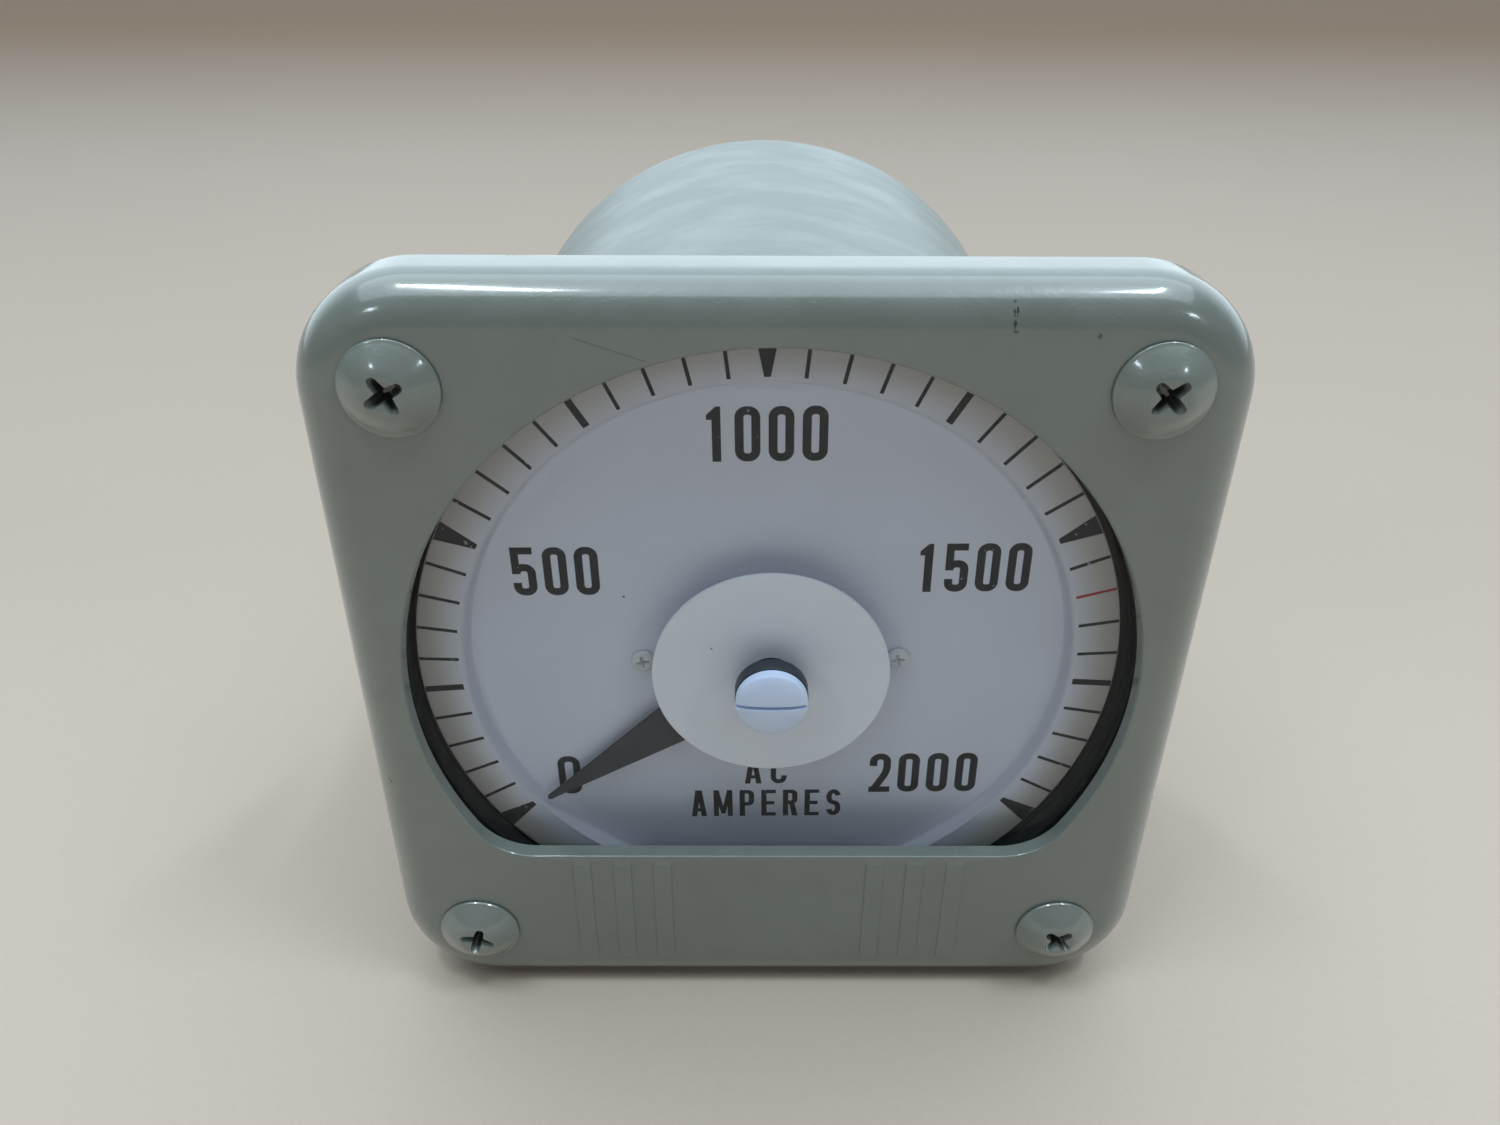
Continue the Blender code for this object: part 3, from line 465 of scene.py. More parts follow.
# Marks in the flange's paint: x, depth, z, radius, stretch and raggedness.
TOP_WALL = FLANGE_HALF - 0.0004
PAINT_MARKS = (
    # The dark nick below the top edge, in five strokes
    (0.02635, 0.0005, 0.0539, 0.00017, (1.0, 0.5, 0.2), 0.3),
    (0.0267, 0.0005, 0.0538, 0.00016, (1.0, 0.5, 0.22), 0.3),
    (0.0265, 0.0007, 0.0547, 0.0003, (0.7, 0.5, 1.0), 0.3),
    (0.0265, 0.0002, 0.0521, 0.0002, (1.0, 0.5, 0.25), 0.3),
    (0.0268, 0.0002, 0.0515, 0.0002, (0.5, 0.5, 1.0), 0.3),
    # Single chips: by the nick, on the left edge and on the right edge
    (0.0362, 0.0, 0.0510, 0.0003, (0.8, 1.0, 1.0), 0.4),
    (-0.0535, 0.0012, -0.0152, 0.0007, (0.7, 1.0, 1.3), 0.5),
    (0.0560, 0.0035, 0.0432, 0.0005, EVEN, 0.5),
    # Chips on the top wall
    (-0.031, 0.0106, TOP_WALL, 0.0009, (0.6, 1.0, 1.0), 0.5),
    (0.0465, 0.0100, TOP_WALL, 0.0011, (0.6, 1.0, 1.0), 0.5),
    (0.052, 0.0098, TOP_WALL, 0.0012, (0.6, 1.0, 1.0), 0.5),
)
SCRATCH_CENTRE = (-0.0190, 0.0, 0.0492)
SCRATCH_TURN = -0.33


def paint_finish(name, roughness=0.34, brightness=1.0):
    """Grey-green enamel with a soft mottle, fine orange peel and a few dust nibs."""
    tones = (PAINT, PAINT_PALE, PAINT_DARK)
    base, pale, dark = (tuple(brightness * c for c in tone) for tone in tones)
    finish = Finish(name, base, roughness)
    finish.mottle(45.0, 3.0, 0.35, 0.75, 0.45, pale)
    finish.mottle(160.0, 4.0, 0.45, 0.8, 0.4, dark)
    finish.rough(finish.noise(90.0, 3.0), roughness - 0.06, roughness + 0.08)
    finish.relief(finish.noise(520.0, 2.0), 0.00005)
    finish.relief(finish.noise(1900.0, 2.0), 0.00002)
    finish.relief(finish.spread(finish.noise(1500.0, 1.0), 0.7, 0.78), 0.00002)
    finish.set({"Coat Weight": 1.0, "Coat IOR": 1.6, "Coat Roughness": 0.12})
    return finish


def flange_paint():
    """The flange's enamel, with grime, chips and a long fine scratch at the upper left."""
    finish = paint_finish("flange_enamel")
    finish.mottle(30.0, 5.0, 0.55, 0.8, 0.35, (0.160, 0.182, 0.148))
    for x, depth, z, radius, stretch, ragged in PAINT_MARKS:
        finish.spot(x, depth, z, radius, CHIP, stretch, ragged)
    away = finish.distance_from(*SCRATCH_CENTRE, (0.0, 0.0, 1.0), SCRATCH_TURN)
    along = finish.distance_from(*SCRATCH_CENTRE, (1.0, 0.0, 0.0))
    width, length = finish.spread(away, 0.00016, 0.00004), finish.spread(along, 0.0044, 0.0036)
    scratch = finish.math("MULTIPLY", width, length)
    finish.tint(finish.math("MULTIPLY", scratch, 0.6), (0.07, 0.085, 0.08))
    return finish


def case_paint():
    """Brushed-on paint: streaks that run round the case, over a blotchy pale tone."""
    finish = Finish("case_enamel", (0.150, 0.186, 0.179), 0.42)
    axes = finish.axes()
    angle = finish.math("ARCTAN2", axes["X"], finish.math("SUBTRACT", axes["Z"], AXIS_Z))
    unrolled = finish.node("CombineXYZ")
    finish.link(finish.math("MULTIPLY", angle, CASE_PAINT_RADIUS), unrolled.inputs["X"])
    finish.link(axes["Y"], unrolled.inputs["Y"])
    streaks = finish.noise(70.0, 5.0, unrolled.outputs[0], (0.8, 1.3, 1.0))
    fine = finish.noise(300.0, 4.0, unrolled.outputs[0], (0.35, 1.4, 1.0))
    blotches = finish.noise(34.0, 4.0, unrolled.outputs[0], (0.9, 1.2, 1.0))
    finish.tint(finish.spread(blotches, 0.4, 0.68, 0.0, 0.6), (0.132, 0.167, 0.160))
    finish.tint(finish.spread(streaks, 0.46, 0.76, 0.0, 0.5), (0.205, 0.245, 0.243))
    finish.tint(finish.spread(fine, 0.5, 0.8, 0.0, 0.4), PAINT_DARK)
    finish.rough(streaks, 0.34, 0.52)
    finish.relief(streaks, 0.000015)
    finish.relief(fine, 0.00001)
    # Darker and greyer along the rear edge: a painted dim reflection on the edge's rounding, with
    # some wear.
    rear_edge = FACE_Y + depths("case")[1] - 0.0052
    rim = finish.math("SUBTRACT", axes["Y"], rear_edge)
    uneven = finish.math("ADD", rim, finish.math("MULTIPLY", streaks, 0.003))
    worn = finish.math("MULTIPLY", finish.spread(uneven, 0.001, 0.004), 0.75)
    finish.tint(worn, (0.15, 0.158, 0.145))
    finish.set({"Coat Weight": 0.25, "Coat Roughness": 0.2})
    return finish


def screw_paint():
    """The flange's enamel, made lighter as painted light, with painted shade sunk in the recesses
    of the screw heads.
    """
    # The 1.12 makes the screws' enamel a lighter copy of the flange's: painted light on the screw
    # heads.
    finish = paint_finish("screw_enamel", 0.3, 1.12)
    sunk = finish.spread(finish.axes()["Y"], FACE_Y - 0.0021, FACE_Y - 0.0015, 0.0, 0.85)
    for corner in CORNERS:
        x, z = centre_of(f"mounting_screw_{corner}")
        near = finish.spread(finish.distance_from(x, 0.0, z, (1.0, 0.0, 1.0)), 0.0030, 0.0027)
        # Painted shade: near black deep in each cross recess.
        finish.tint(finish.math("MULTIPLY", near, sunk), (0.012, 0.012, 0.013))
    return finish.mottle(420.0, 3.0, 0.6, 0.75, 0.5, (0.20, 0.21, 0.165))


def dial_paint():
    """White enamel with a painted cool cast, painted shade towards the rim of its outer ring and
    along its step, and one speck.
    """
    # The bluish base colour is a painted cast that stands in for the cool light on the white
    # enamel.
    finish = Finish("dial_enamel", (0.72, 0.735, 0.86), 0.5)
    finish.mottle(40.0, 3.0, 0.4, 0.7, 0.5, (0.70, 0.70, 0.81))
    finish.mottle(2600.0, 2.0, 0.72, 0.78, 0.35, (0.40, 0.39, 0.38))
    finish.rough(finish.noise(150.0, 2.0), 0.45, 0.58)
    finish.relief(finish.noise(1800.0, 2.0), 0.000008)
    radius = finish.distance_from(DIAL_SHIFT, 0.0, 0.0, (1.0, 0.0, 1.0))
    # Painted shade: darker and warmer towards the rim of the outer ring, where the window's lip
    # shades it.
    finish.tint(finish.spread(radius, 0.0420, 0.0480, 0.0, 0.85), (0.52, 0.465, 0.42))
    # Painted shade along the step between the inner dial and its raised ring.
    inside, outside = finish.spread(radius, 0.0416, 0.0420), finish.spread(radius, 0.0430, 0.0425)
    in_step = finish.math("MULTIPLY", inside, outside)
    finish.tint(finish.math("MULTIPLY", in_step, 0.45), (0.44, 0.42, 0.46))
    return finish.spot(-0.0203, 0.0094, 0.0104, 0.00022, CHIP, (1.0, 0.0, 1.0), 0.3)


def print_ink(name, colour):
    """Printing ink with small worn holes."""
    finish = Finish(name, colour, 0.6)
    finish.set({"Specular IOR Level": 0.2})
    finish.mottle(1100.0, 2.0, 0.70, 0.74, 0.7, (0.42, 0.42, 0.44))
    finish.rough(finish.noise(700.0, 2.0), 0.55, 0.7)
    finish.relief(finish.noise(2400.0, 2.0), 0.000004)
    return finish


def plastic(name, colour, roughness, speck=0.3, grain=0.00002):
    """Moulded plastic: a slight mottle, fine texture and specks of dust."""
    finish = Finish(name, colour, roughness)
    pale = tuple(min(c * 1.25 + 0.01, 0.95) for c in colour)
    finish.mottle(90.0, 3.0, 0.4, 0.75, 0.4, pale)
    finish.mottle(2000.0, 2.0, 0.70, 0.76, speck, tuple(c * 0.6 for c in colour))
    finish.rough(finish.noise(200.0, 2.0), roughness - 0.05, roughness + 0.08)
    finish.relief(finish.noise(1100.0, 2.0), grain)
    return finish


def metal(name, colour, roughness, stain, stretch=EVEN):
    """Bare metal with tool marks and a little tarnish."""
    finish = Finish(name, colour, roughness, 1.0)
    finish.mottle(130.0, 4.0, 0.45, 0.75, 0.6, stain)
    marks = finish.noise(500.0, 3.0, stretch=stretch)
    finish.rough(marks, roughness - 0.08, roughness + 0.12)
    finish.relief(marks, 0.000012)
    return finish


def rubber(name):
    finish = Finish(name, (0.016, 0.016, 0.017), 0.75)
    finish.mottle(300.0, 3.0, 0.5, 0.8, 0.5, (0.045, 0.044, 0.042))
    finish.rough(finish.noise(400.0, 2.0), 0.68, 0.85)
    finish.relief(finish.noise(1500.0, 2.0), 0.00002)
    return finish


def winding(name):
    """Enamelled wire, seen as fine turns side by side."""
    finish = Finish(name, (0.42, 0.17, 0.07), 0.3, 0.7)
    wire = 0.0011
    along = finish.math("MULTIPLY", finish.axes()["Y"], 2 * math.pi / wire)
    turns = finish.math("SINE", along)
    finish.relief(turns, 0.00018)
    # Painted shade in the grooves between the turns.
    finish.tint(finish.spread(turns, -0.2, -0.9), (0.12, 0.04, 0.02))
    finish.rough(finish.noise(300.0, 2.0), 0.25, 0.4)
    return finish


def window_glass():
    """A thin clear pane: see-through, with the mirror of glass added by angle."""
    material = bpy.data.materials.new("window_glass")
    material.use_nodes = True
    tree = material.node_tree
    tree.nodes.remove(tree.nodes["Principled BSDF"])
    clear = add_node(tree, "BsdfTransparent", {"Color": (0.96, 0.98, 0.985, 1.0)})
    mirror = add_node(tree, "BsdfGlossy", {"Roughness": 0.03})
    # Schlick's curve, which is the same from both faces of a pane that doesn't bend light.
    facing = add_node(tree, "LayerWeight", {"Blend": 0.5})
    power = add_node(tree, "Math", {1: 5.0}, operation="POWER")
    share = add_node(tree, "Math", {1: 0.96, 2: 0.018}, operation="MULTIPLY_ADD")
    mix = add_node(tree, "MixShader")
    tree.links.new(facing.outputs["Facing"], power.inputs[0])
    tree.links.new(power.outputs[0], share.inputs[0])
    for source, target in zip((share, clear, mirror), mix.inputs):
        tree.links.new(source.outputs[0], target)
    tree.links.new(mix.outputs[0], tree.nodes["Material Output"].inputs["Surface"])
    return material


# Front of the meter


def make_flange_cover(paint):
    """The square cover: rolled front edge, D-shaped window, raised bars and an open back."""
    bm = bmesh.new()

    def edge_loop(inset, depth):
        half = FLANGE_HALF - inset
        return add_loop(bm, rounded_rectangle(half, half, FLANGE_CORNER - inset, 20), depth)

    outer = []
    roll_steps = 14
    for i in range(roll_steps + 1):
        swing = math.pi / 2 * i / roll_steps
        inset = FLANGE_EDGE_ROUND * (1 - math.sin(swing))
        outer.append(edge_loop(inset, FLANGE_EDGE_ROUND * (1 - math.cos(swing))))
    third = FLANGE_BACK_EDGE / 3
    outer.append(edge_loop(0.0, FLANGE_DEPTH - FLANGE_BACK_EDGE))
    outer.append(edge_loop(third, FLANGE_DEPTH - third))
    outer.append(edge_loop(FLANGE_BACK_EDGE, FLANGE_DEPTH))
    skin(bm, *outer)
    rim = edge_loop(SKIRT_THICKNESS, FLANGE_DEPTH)
    floor = edge_loop(SKIRT_THICKNESS, FACE_THICKNESS)
    skin(bm, outer[-1], rim, floor)

    lip = []
    for i in range(5):
        swing = math.pi / 2 * i / 4
        grow = LIP_ROUND * (1 - math.sin(swing))
        lip.append(add_loop(bm, window_outline(grow), LIP_ROUND * (1 - math.cos(swing))))
    lip.append(add_loop(bm, window_outline(), FACE_THICKNESS))
    skin(bm, *lip)

    boss_top = depths("mounting_plate")[0] - BOSS_GAP
    hole_fronts, boss_feet = [], []
    for corner in CORNERS:
        place = centre_of(f"mounting_screw_{corner}")
        hole_front = add_loop(bm, circle(SCREW_HOLE_RADIUS, 32, place), 0.0)
        hole_back = add_loop(bm, circle(SCREW_HOLE_RADIUS, 32, place), boss_top)
        boss_back = add_loop(bm, circle(BOSS_RADIUS, 32, place), boss_top)
        boss_foot = add_loop(bm, circle(BOSS_RADIUS, 32, place), FACE_THICKNESS)
        skin(bm, hole_front, hole_back, boss_back, boss_foot)
        hole_fronts.append(hole_front)
        boss_feet.append(boss_foot)

    bar_feet = []
    bar_low = FLANGE_EDGE_ROUND - FLANGE_HALF + 0.0002
    for sign in SIDES.values():
        for i in range(3):
            centre = (sign * (BAR_FIRST + i * BAR_PITCH), (BAR_TOP + bar_low) / 2)
            half_x, half_z = BAR_WIDTH / 2, (BAR_TOP - bar_low) / 2
            foot = add_loop(bm, rounded_rectangle(half_x, half_z, 0.0004, 4, centre), 0.0)
            crown_x, crown_z = half_x - BAR_SLOPE, half_z - BAR_END_SLOPE
            crown = rounded_rectangle(crown_x, crown_z, 0.0003, 4, centre)
            top = add_loop(bm, crown, -BAR_HEIGHT)
            skin(bm, foot, top)
            fill(bm, top)
            bar_feet.append(foot)
    fill(bm, outer[0], lip[0], *hole_fronts, *bar_feet)
    fill(bm, floor, lip[-1], *boss_feet)
    add_piece("flange_cover_shell", bm, paint, ["flange_cover"])


def phillips_cutter(centre, reach, width, front, back, turn):
    """A cross with round-ended arms that narrows towards its tip."""
    half = width / 2
    outline = []
    for i in range(4):
        spin = Matrix.Rotation(i * math.pi / 2 + turn, 2)
        tip = arc(half, -math.pi / 2, math.pi / 2, 6, (reach - half, 0.0))
        outline += [tuple(spin @ Vector(point)) for point in tip + [(half * 1.2, half * 1.2)]]
    bm = bmesh.new()
    loops = []
    for share, depth in ((1.2, front), (1.0, front + (back - front) * 0.4), (0.35, back)):
        points = [(centre[0] + x * share, centre[1] + z * share) for x, z in outline]
        loops.append(add_loop(bm, points, depth))
    skin(bm, *loops)
    fill(bm, loops[0])
    fill(bm, loops[-1])
    return bm


def screw_thread(centre, radius, pitch, start, end, tip, segments=36):
    """A rod with a helical thread from start to end and a chamfered tip."""
    bm = bmesh.new()
    per_turn = 6
    count = int((end - start) / pitch * per_turn)
    rings = []
    for i in range(count + 1):
        depth = start + (end - start) * i / count
        points = []
        for j in range(segments):
            angle = 2 * math.pi * j / segments
            phase = ((depth - start) / pitch + j / segments) % 1.0
            cut = 0.54 * pitch * (1 - abs(2 * phase - 1))
            fade = min((depth - start) / pitch, 1.0)
            limit = radius - max(0.0, depth - (end - tip))
            r = min(radius - cut * fade, limit)
            points.append((centre[0] + r * math.cos(angle), centre[1] + r * math.sin(angle)))
        rings.append(add_loop(bm, points, depth))
    skin(bm, *rings)
    fill(bm, rings[0])
    fill(bm, rings[-1])
    return bm


def hex_nut(centre, node, bore):
    """A hexagon nut with its corners turned off at both faces."""
    front, back = depths(node)
    across = radius_of(node)
    flat = across * math.cos(math.pi / 6)
    turned_off = flat * 1.02
    segments = 72
    bm = bmesh.new()

    def hexagon(limit):
        points, lost = [], []
        for i in range(segments):
            angle = 2 * math.pi * i / segments
            around = (angle + math.pi / 6) % (math.pi / 3) - math.pi / 6
            full = min(flat / math.cos(math.pi / 6 - abs(around)), across)
            r = min(full, limit)
            points.append((centre[0] + r * math.cos(angle), centre[1] + r * math.sin(angle)))
            lost.append((full - r) * 0.6)
        return points, lost

    faces, lost = hexagon(turned_off)
    full, _ = hexagon(across)
    hole = circle(bore, segments, centre)
    wide = circle(bore + 0.0004, segments, centre)
    loops = [
        add_loop(bm, outline, depth)
        for outline, depth in (
            (hole, front + 0.0004),
            (wide, front),
            (faces, front),
            (full, [front + value + 1e-5 for value in lost]),
            (full, [back - value - 1e-5 for value in lost]),
            (faces, back),
            (wide, back),
            (hole, back - 0.0004),
        )
    ]
    skin(bm, *loops, loops[0])
    return bm


def washer(centre, node, bore):
    front, back = depths(node)
    profile = softened(tube(bore, radius_of(node), front, back), {1: 0.0002, 2: 0.0002})
    return turned(profile, 64, centre)


def make_mounting_hardware(paint, steel):
    for corner in CORNERS:
        node = f"mounting_screw_{corner}"
        centre = centre_of(node)
        front, end = depths(node)
        radius = radius_of(node)
        dome = -front - HEAD_RIM
        profile = []
        steps = 28
        for i in range(steps + 1):
            r = radius * i / steps
            past_crest = max(r - DIMPLE_RADIUS, 0.0) / (radius - DIMPLE_RADIUS)
            inside = max(1 - r / DIMPLE_RADIUS, 0.0)
            dimple = DIMPLE_DEPTH * inside**2 * (3 - 2 * inside)
            profile.append((r, front + dimple + dome * past_crest**1.4))
        profile[-1] = (radius - 0.00008, -HEAD_RIM - 0.00012)
        profile += [(radius, -HEAD_RIM + 0.00006), (radius - 0.00005, HEAD_SEAT)]
        profile += [(SHANK_RADIUS, HEAD_SEAT), (SHANK_RADIUS, THREAD_START), (0.0, THREAD_START)]
        turn = math.radians(RECESS_TURNS[corner])
        cutter = phillips_cutter(centre, 0.00235, 0.00115, front - 0.0006, front + 0.0026, turn)
        head = turned(profile, 72, centre)
        add_piece(f"screw_head_{corner}", head, paint, [node], cutters=[cutter])
        thread = screw_thread(centre, SHANK_RADIUS, 0.0008, THREAD_START, end, 0.0006, 28)
        add_piece(f"screw_thread_{corner}", thread, steel)
        nut, ring = f"mounting_nut_{corner}", f"mounting_washer_{corner}"
        bm = hex_nut(centre, nut, 0.0025)
        add_piece(f"hex_nut_{corner}", bm, steel, [nut])
        bm = washer(centre, ring, 0.0027)
        add_piece(f"flat_washer_{corner}", bm, steel, [ring])


def make_window(glass, black):
    profile = tube(0.0033, radius_of("window_pane"), *depths("window_pane"))
    add_piece("window_glass_disc", turned(profile, 160), glass, ["window_pane"])
    profile = tube(0.0501, radius_of("window_gasket"), *depths("window_gasket"))
    profile = softened(profile, {0: 0.0005, 3: 0.0005})
    add_piece("window_seal", turned(profile, 160), black, ["window_gasket"])


def make_case(paint):
    """The drawn cup, with a rolled rear edge and the opening for the terminals."""
    bm = bmesh.new()
    mouth, back = depths("case")
    radius = radius_of("case")
    wall, edge = 0.0014, 0.004
    segments = 144
    outer = [(radius, mouth), (radius, back * 0.35), (radius, back * 0.7), (radius, back - edge)]
    outer += arc(edge, 0.0, math.pi / 2, 8, (radius - edge, back - edge))[1:]
    inner = [(radius - wall, mouth), (radius - wall, back - edge)]
    inner += arc(edge - wall, 0.0, math.pi / 2, 5, (radius - edge, back - edge))[1:]
    outer_loops = [add_loop(bm, circle(r, segments), depth) for r, depth in outer]
    inner_loops = [add_loop(bm, circle(r, segments), depth) for r, depth in inner]
    skin(bm, *outer_loops)
    skin(bm, outer_loops[0], *inner_loops)
    inside_holes, outside_holes = [], []
    holes = [rounded_rectangle(0.0303, 0.0153, 0.0043)]
    holes += [circle(0.0022, 24, centre_of(f"case_screw_{label}")) for label in ("upper", "lower")]
    for hole in holes:
        inside_holes.append(add_loop(bm, hole, back - wall))
        outside_holes.append(add_loop(bm, hole, back))
        skin(bm, inside_holes[-1], outside_holes[-1])
    fill(bm, inner_loops[-1], *inside_holes)
    fill(bm, outer_loops[-1], *outside_holes)
    add_piece("case_cup", bm, paint, ["case"])


def square_sheet(node, opening, screw_hole, corner):
    """A sheet behind the flange, with the case's opening and four screw holes."""
    half = radius_of(node)
    holes = [circle(opening, 144)]
    for label in CORNERS:
        holes.append(circle(screw_hole, 24, centre_of(f"mounting_screw_{label}")))
    return flat_solid([rounded_rectangle(half, half, corner, 16)], holes, *depths(node))


def make_sheets(paint, black):
    bm = square_sheet("mounting_plate", 0.0523, SCREW_HOLE_RADIUS, 0.0115)
    add_piece("mounting_plate_sheet", bm, paint, ["mounting_plate"])
    bm = square_sheet("panel_gasket", 0.0526, 0.00295, 0.014)
    add_piece("flange_gasket", bm, black, ["panel_gasket"])


# Dial


def dial_place(points):
    """Points on the dial, turned and shifted as the dial is."""
    cos, sin = math.cos(-DIAL_TURN), math.sin(-DIAL_TURN)
    return [(DIAL_SHIFT + x * cos - z * sin, x * sin + z * cos) for x, z in points]


def make_dial(white):
    front_ring, back = depths("dial_plate")
    radius = radius_of("dial_plate")
    front = back - DIAL_THICKNESS
    ring_back = front_ring + DIAL_THICKNESS
    profile = [
        (DIAL_HOLE_RADIUS, front),
        (DIAL_STEP_INNER, front),
        (DIAL_STEP_OUTER, front_ring),
        (radius, front_ring),
        (radius, ring_back),
        (DIAL_STEP_OUTER + 0.0004, ring_back),
        (DIAL_STEP_INNER + 0.0004, back),
        (DIAL_HOLE_RADIUS, back),
    ]
    rounds = {1: 0.0005, 2: 0.0002, 3: 0.00025, 4: 0.0002, 5: 0.0003, 6: 0.0004}
    bm = turned(softened(profile, rounds, 6), 180)
    bmesh.ops.translate(bm, verts=bm.verts, vec=(DIAL_SHIFT, 0.0, 0.0))
    drill = tube(0.0, 0.0013, front - 0.001, back + 0.001)
    cutters = [turned(drill, 24, centre_of(f"dial_screw_{side}")) for side in SIDES]
    add_piece("dial_face", bm, white, ["dial_plate"], cutters=cutters)
    return front_ring, front


def make_dial_screws(white):
    for side in SIDES:
        node = f"dial_screw_{side}"
        centre = centre_of(node)
        front, back = depths(node)
        seat = depths("dial_plate")[1] - DIAL_THICKNESS - 0.00012
        profile = [(0.0, front)]
        for i in range(1, 9):
            swing = math.pi / 2 * i / 8
            profile.append((0.0017 * math.sin(swing), front + 0.0005 * (1 - math.cos(swing))))
        profile += [(0.0017, seat), (0.001, seat), (0.001, back), (0.0, back)]
        cutter = phillips_cutter(centre, 0.0011, 0.00048, front - 0.0003, front + 0.0008, 0.2)
        head = turned(profile, 40, centre)
        add_piece(f"dial_screw_head_{side}", head, white, [node], cutters=[cutter])


def radial_bar(angle, inner, outer, inner_width, outer_width):
    """A tick that runs outwards at an angle clockwise from the top."""
    along = Vector((math.sin(angle), math.cos(angle)))
    across = Vector((along.y, -along.x))
    near, far = inner_width, outer_width
    ends = ((inner, -near), (outer, -far), (outer, far), (inner, near))
    return [tuple(along * r + across * width / 2) for r, width in ends]


def make_scale(ring_front, black, red):
    """Wedges at each quarter, bold ticks between them, thin ticks and one red tick."""
    marks, red_mark = [], None
    for i in range(SCALE_DIVISIONS + 1):
        angle = SCALE_HALF_ANGLE * (2 * i / SCALE_DIVISIONS - 1)
        if i == RED_DIVISION:
            red_mark = radial_bar(angle, TICK_INNER, TICK_OUTER, 0.0004, 0.0004)
            continue
        widths = (0.0005, 0.0005)
        if i % 10 == 0:
            widths = (0.0008, 0.0030)
        elif i % 5 == 0:
            widths = (0.00098, 0.00098)
        marks.append(radial_bar(angle, TICK_INNER, TICK_OUTER, *widths))
    for name, shapes, ink in (("scale_marks", marks, black), ("red_limit_mark", [red_mark], red)):
        solids = [dial_place(shape) for shape in shapes]
        bm = flat_solid(solids, [], ring_front - INK, ring_front - INK / 6)
        add_piece(name, bm, ink)


# Lettering: each character is (outlines, holes) for a height, a width and a stroke.


def box_outline(left, low, right, high):
    return [(left, low), (right, low), (right, high), (left, high)]


def bowl(width, low, high, stroke):
    """An upright rounded ring, as its outline and its hole."""
    middle, half = (low + high) / 2, (high - low) / 2
    corner = width * 0.46
    outside = rounded_rectangle(width / 2, half, corner, 10, (width / 2, middle))
    inner_corner = max(corner - stroke, width * 0.1)
    half_hole = (width / 2 - stroke, half - stroke)
    return outside, rounded_rectangle(*half_hole, inner_corner, 8, (width / 2, middle))


def half_bowl(width, low, high, stroke, corner):
    """The bowl of a P or an R, with its hole."""
    outside = [(0.0, low)] + arc(corner, -math.pi / 2, 0.0, 8, (width - corner, low + corner))
    outside += arc(corner, 0.0, math.pi / 2, 8, (width - corner, high - corner)) + [(0.0, high)]
    inner = corner - stroke * 0.8
    right = width - stroke
    inside = [(stroke, low + stroke * 0.85)]
    inside += arc(inner, -math.pi / 2, 0.0, 6, (right - inner, low + stroke * 0.85 + inner))
    inside += arc(inner, 0.0, math.pi / 2, 6, (right - inner, high - stroke * 0.85 - inner))
    inside.append((stroke, high - stroke * 0.85))
    return outside, inside


def letter(character, h, w, t):
    if character == "0":
        outside, inside = bowl(w, 0.0, h, t)
        return [outside], [inside]
    if character == "1":
        right, flag = w * 0.72, 0.15 * h
        return [[(right - t, 0.0), (right, 0.0), (right, h), (right - 0.55 * t, h), (0.0, h - flag),
                 (0.0, h - flag - 0.085 * h), (right - t, h - flag - 0.085 * h)]], []
    if character == "2":
        r = (w - t) / 2
        line = [(t / 2, 0.68 * h), (t / 2, h - w / 2)]
        line += arc(r, math.pi, 0.0, 14, (w / 2, h - w / 2))[1:]
        line += bezier((w - t / 2, 0.68 * h), (w - t / 2, 0.52 * h), (0.6 * w, 0.36 * h))
        line.append((t * 0.74, t * 0.6))
        return [ribbon(line, t), box_outline(0.0, 0.0, w, t * 0.95)], []
    if character == "5":
        outside, inside = bowl(w, 0.0, 0.66 * h, t)
        stem = box_outline(0.0, 0.45 * h, t * 0.95, h)
        bar = box_outline(0.0, h - t * 0.95, w * 0.93, h)
        notch = box_outline(-t, 0.27 * h, t * 1.02, 0.45 * h)
        return [outside, stem, bar], [inside, notch]
    if character == "A":
        a = t * 1.2
        left = [(0.0, 0.0), (t, 0.0), ((w - a) / 2 + t, h), ((w - a) / 2, h)]
        right = [(w - x, z) for x, z in left]
        return [left, right, box_outline(w * 0.2, 0.19 * h, w * 0.8, 0.19 * h + t * 0.8)], []
    if character == "M":
        slant = [(0.0, h), (t, h), (w / 2 + t * 0.36, 0.1 * h), (w / 2 - t * 0.36, 0.1 * h)]
        mirrored = [(w - x, z) for x, z in slant]
        stems = [box_outline(0.0, 0.0, t * 0.95, h), box_outline(w - t * 0.95, 0.0, w, h)]
        return [slant, mirrored, *stems], []
    if character in "PR":
        low = 0.4 * h if character == "P" else 0.45 * h
        outside, inside = half_bowl(w, low, h, t, w * 0.42)
        solids = [outside, box_outline(0.0, 0.0, t, h)]
        if character == "R":
            top, foot = w * 0.42, w * 1.02
            leg = [(top, 0.5 * h), (top + t, 0.5 * h), (foot, 0.0), (foot - t * 1.05, 0.0)]
            solids.append(leg)
        return solids, [inside]
    if character == "E":
        bars = [box_outline(0.0, z, reach * w, z + t * 0.85) for z, reach in
                ((0.0, 1.0), ((h - t * 0.85) / 2, 0.9), (h - t * 0.85, 1.0))]
        return [box_outline(0.0, 0.0, t, h), *bars], []
    rx, ry = (w - t) / 2, (h - t) / 4
    if character == "S":
        line = arc(rx, math.radians(15), 1.5 * math.pi, 22, (w / 2, h - t / 2 - ry), ry)
        line += arc(rx, math.pi / 2, math.radians(-165), 22, (w / 2, t / 2 + ry), ry)[1:]
        return [ribbon(line, t)], []
    r = rx
    line = [(w - t / 2, 0.7 * h)] + arc(r, 0.0, math.pi, 16, (w / 2, h - w / 2))
    line += arc(r, math.pi, 2 * math.pi, 16, (w / 2, w / 2)) + [(w - t / 2, 0.3 * h)]
    return [ribbon(line, t)], []


WIDTHS = {"1": 0.78, "M": 1.3, "S": 1.0, "A": 1.05}


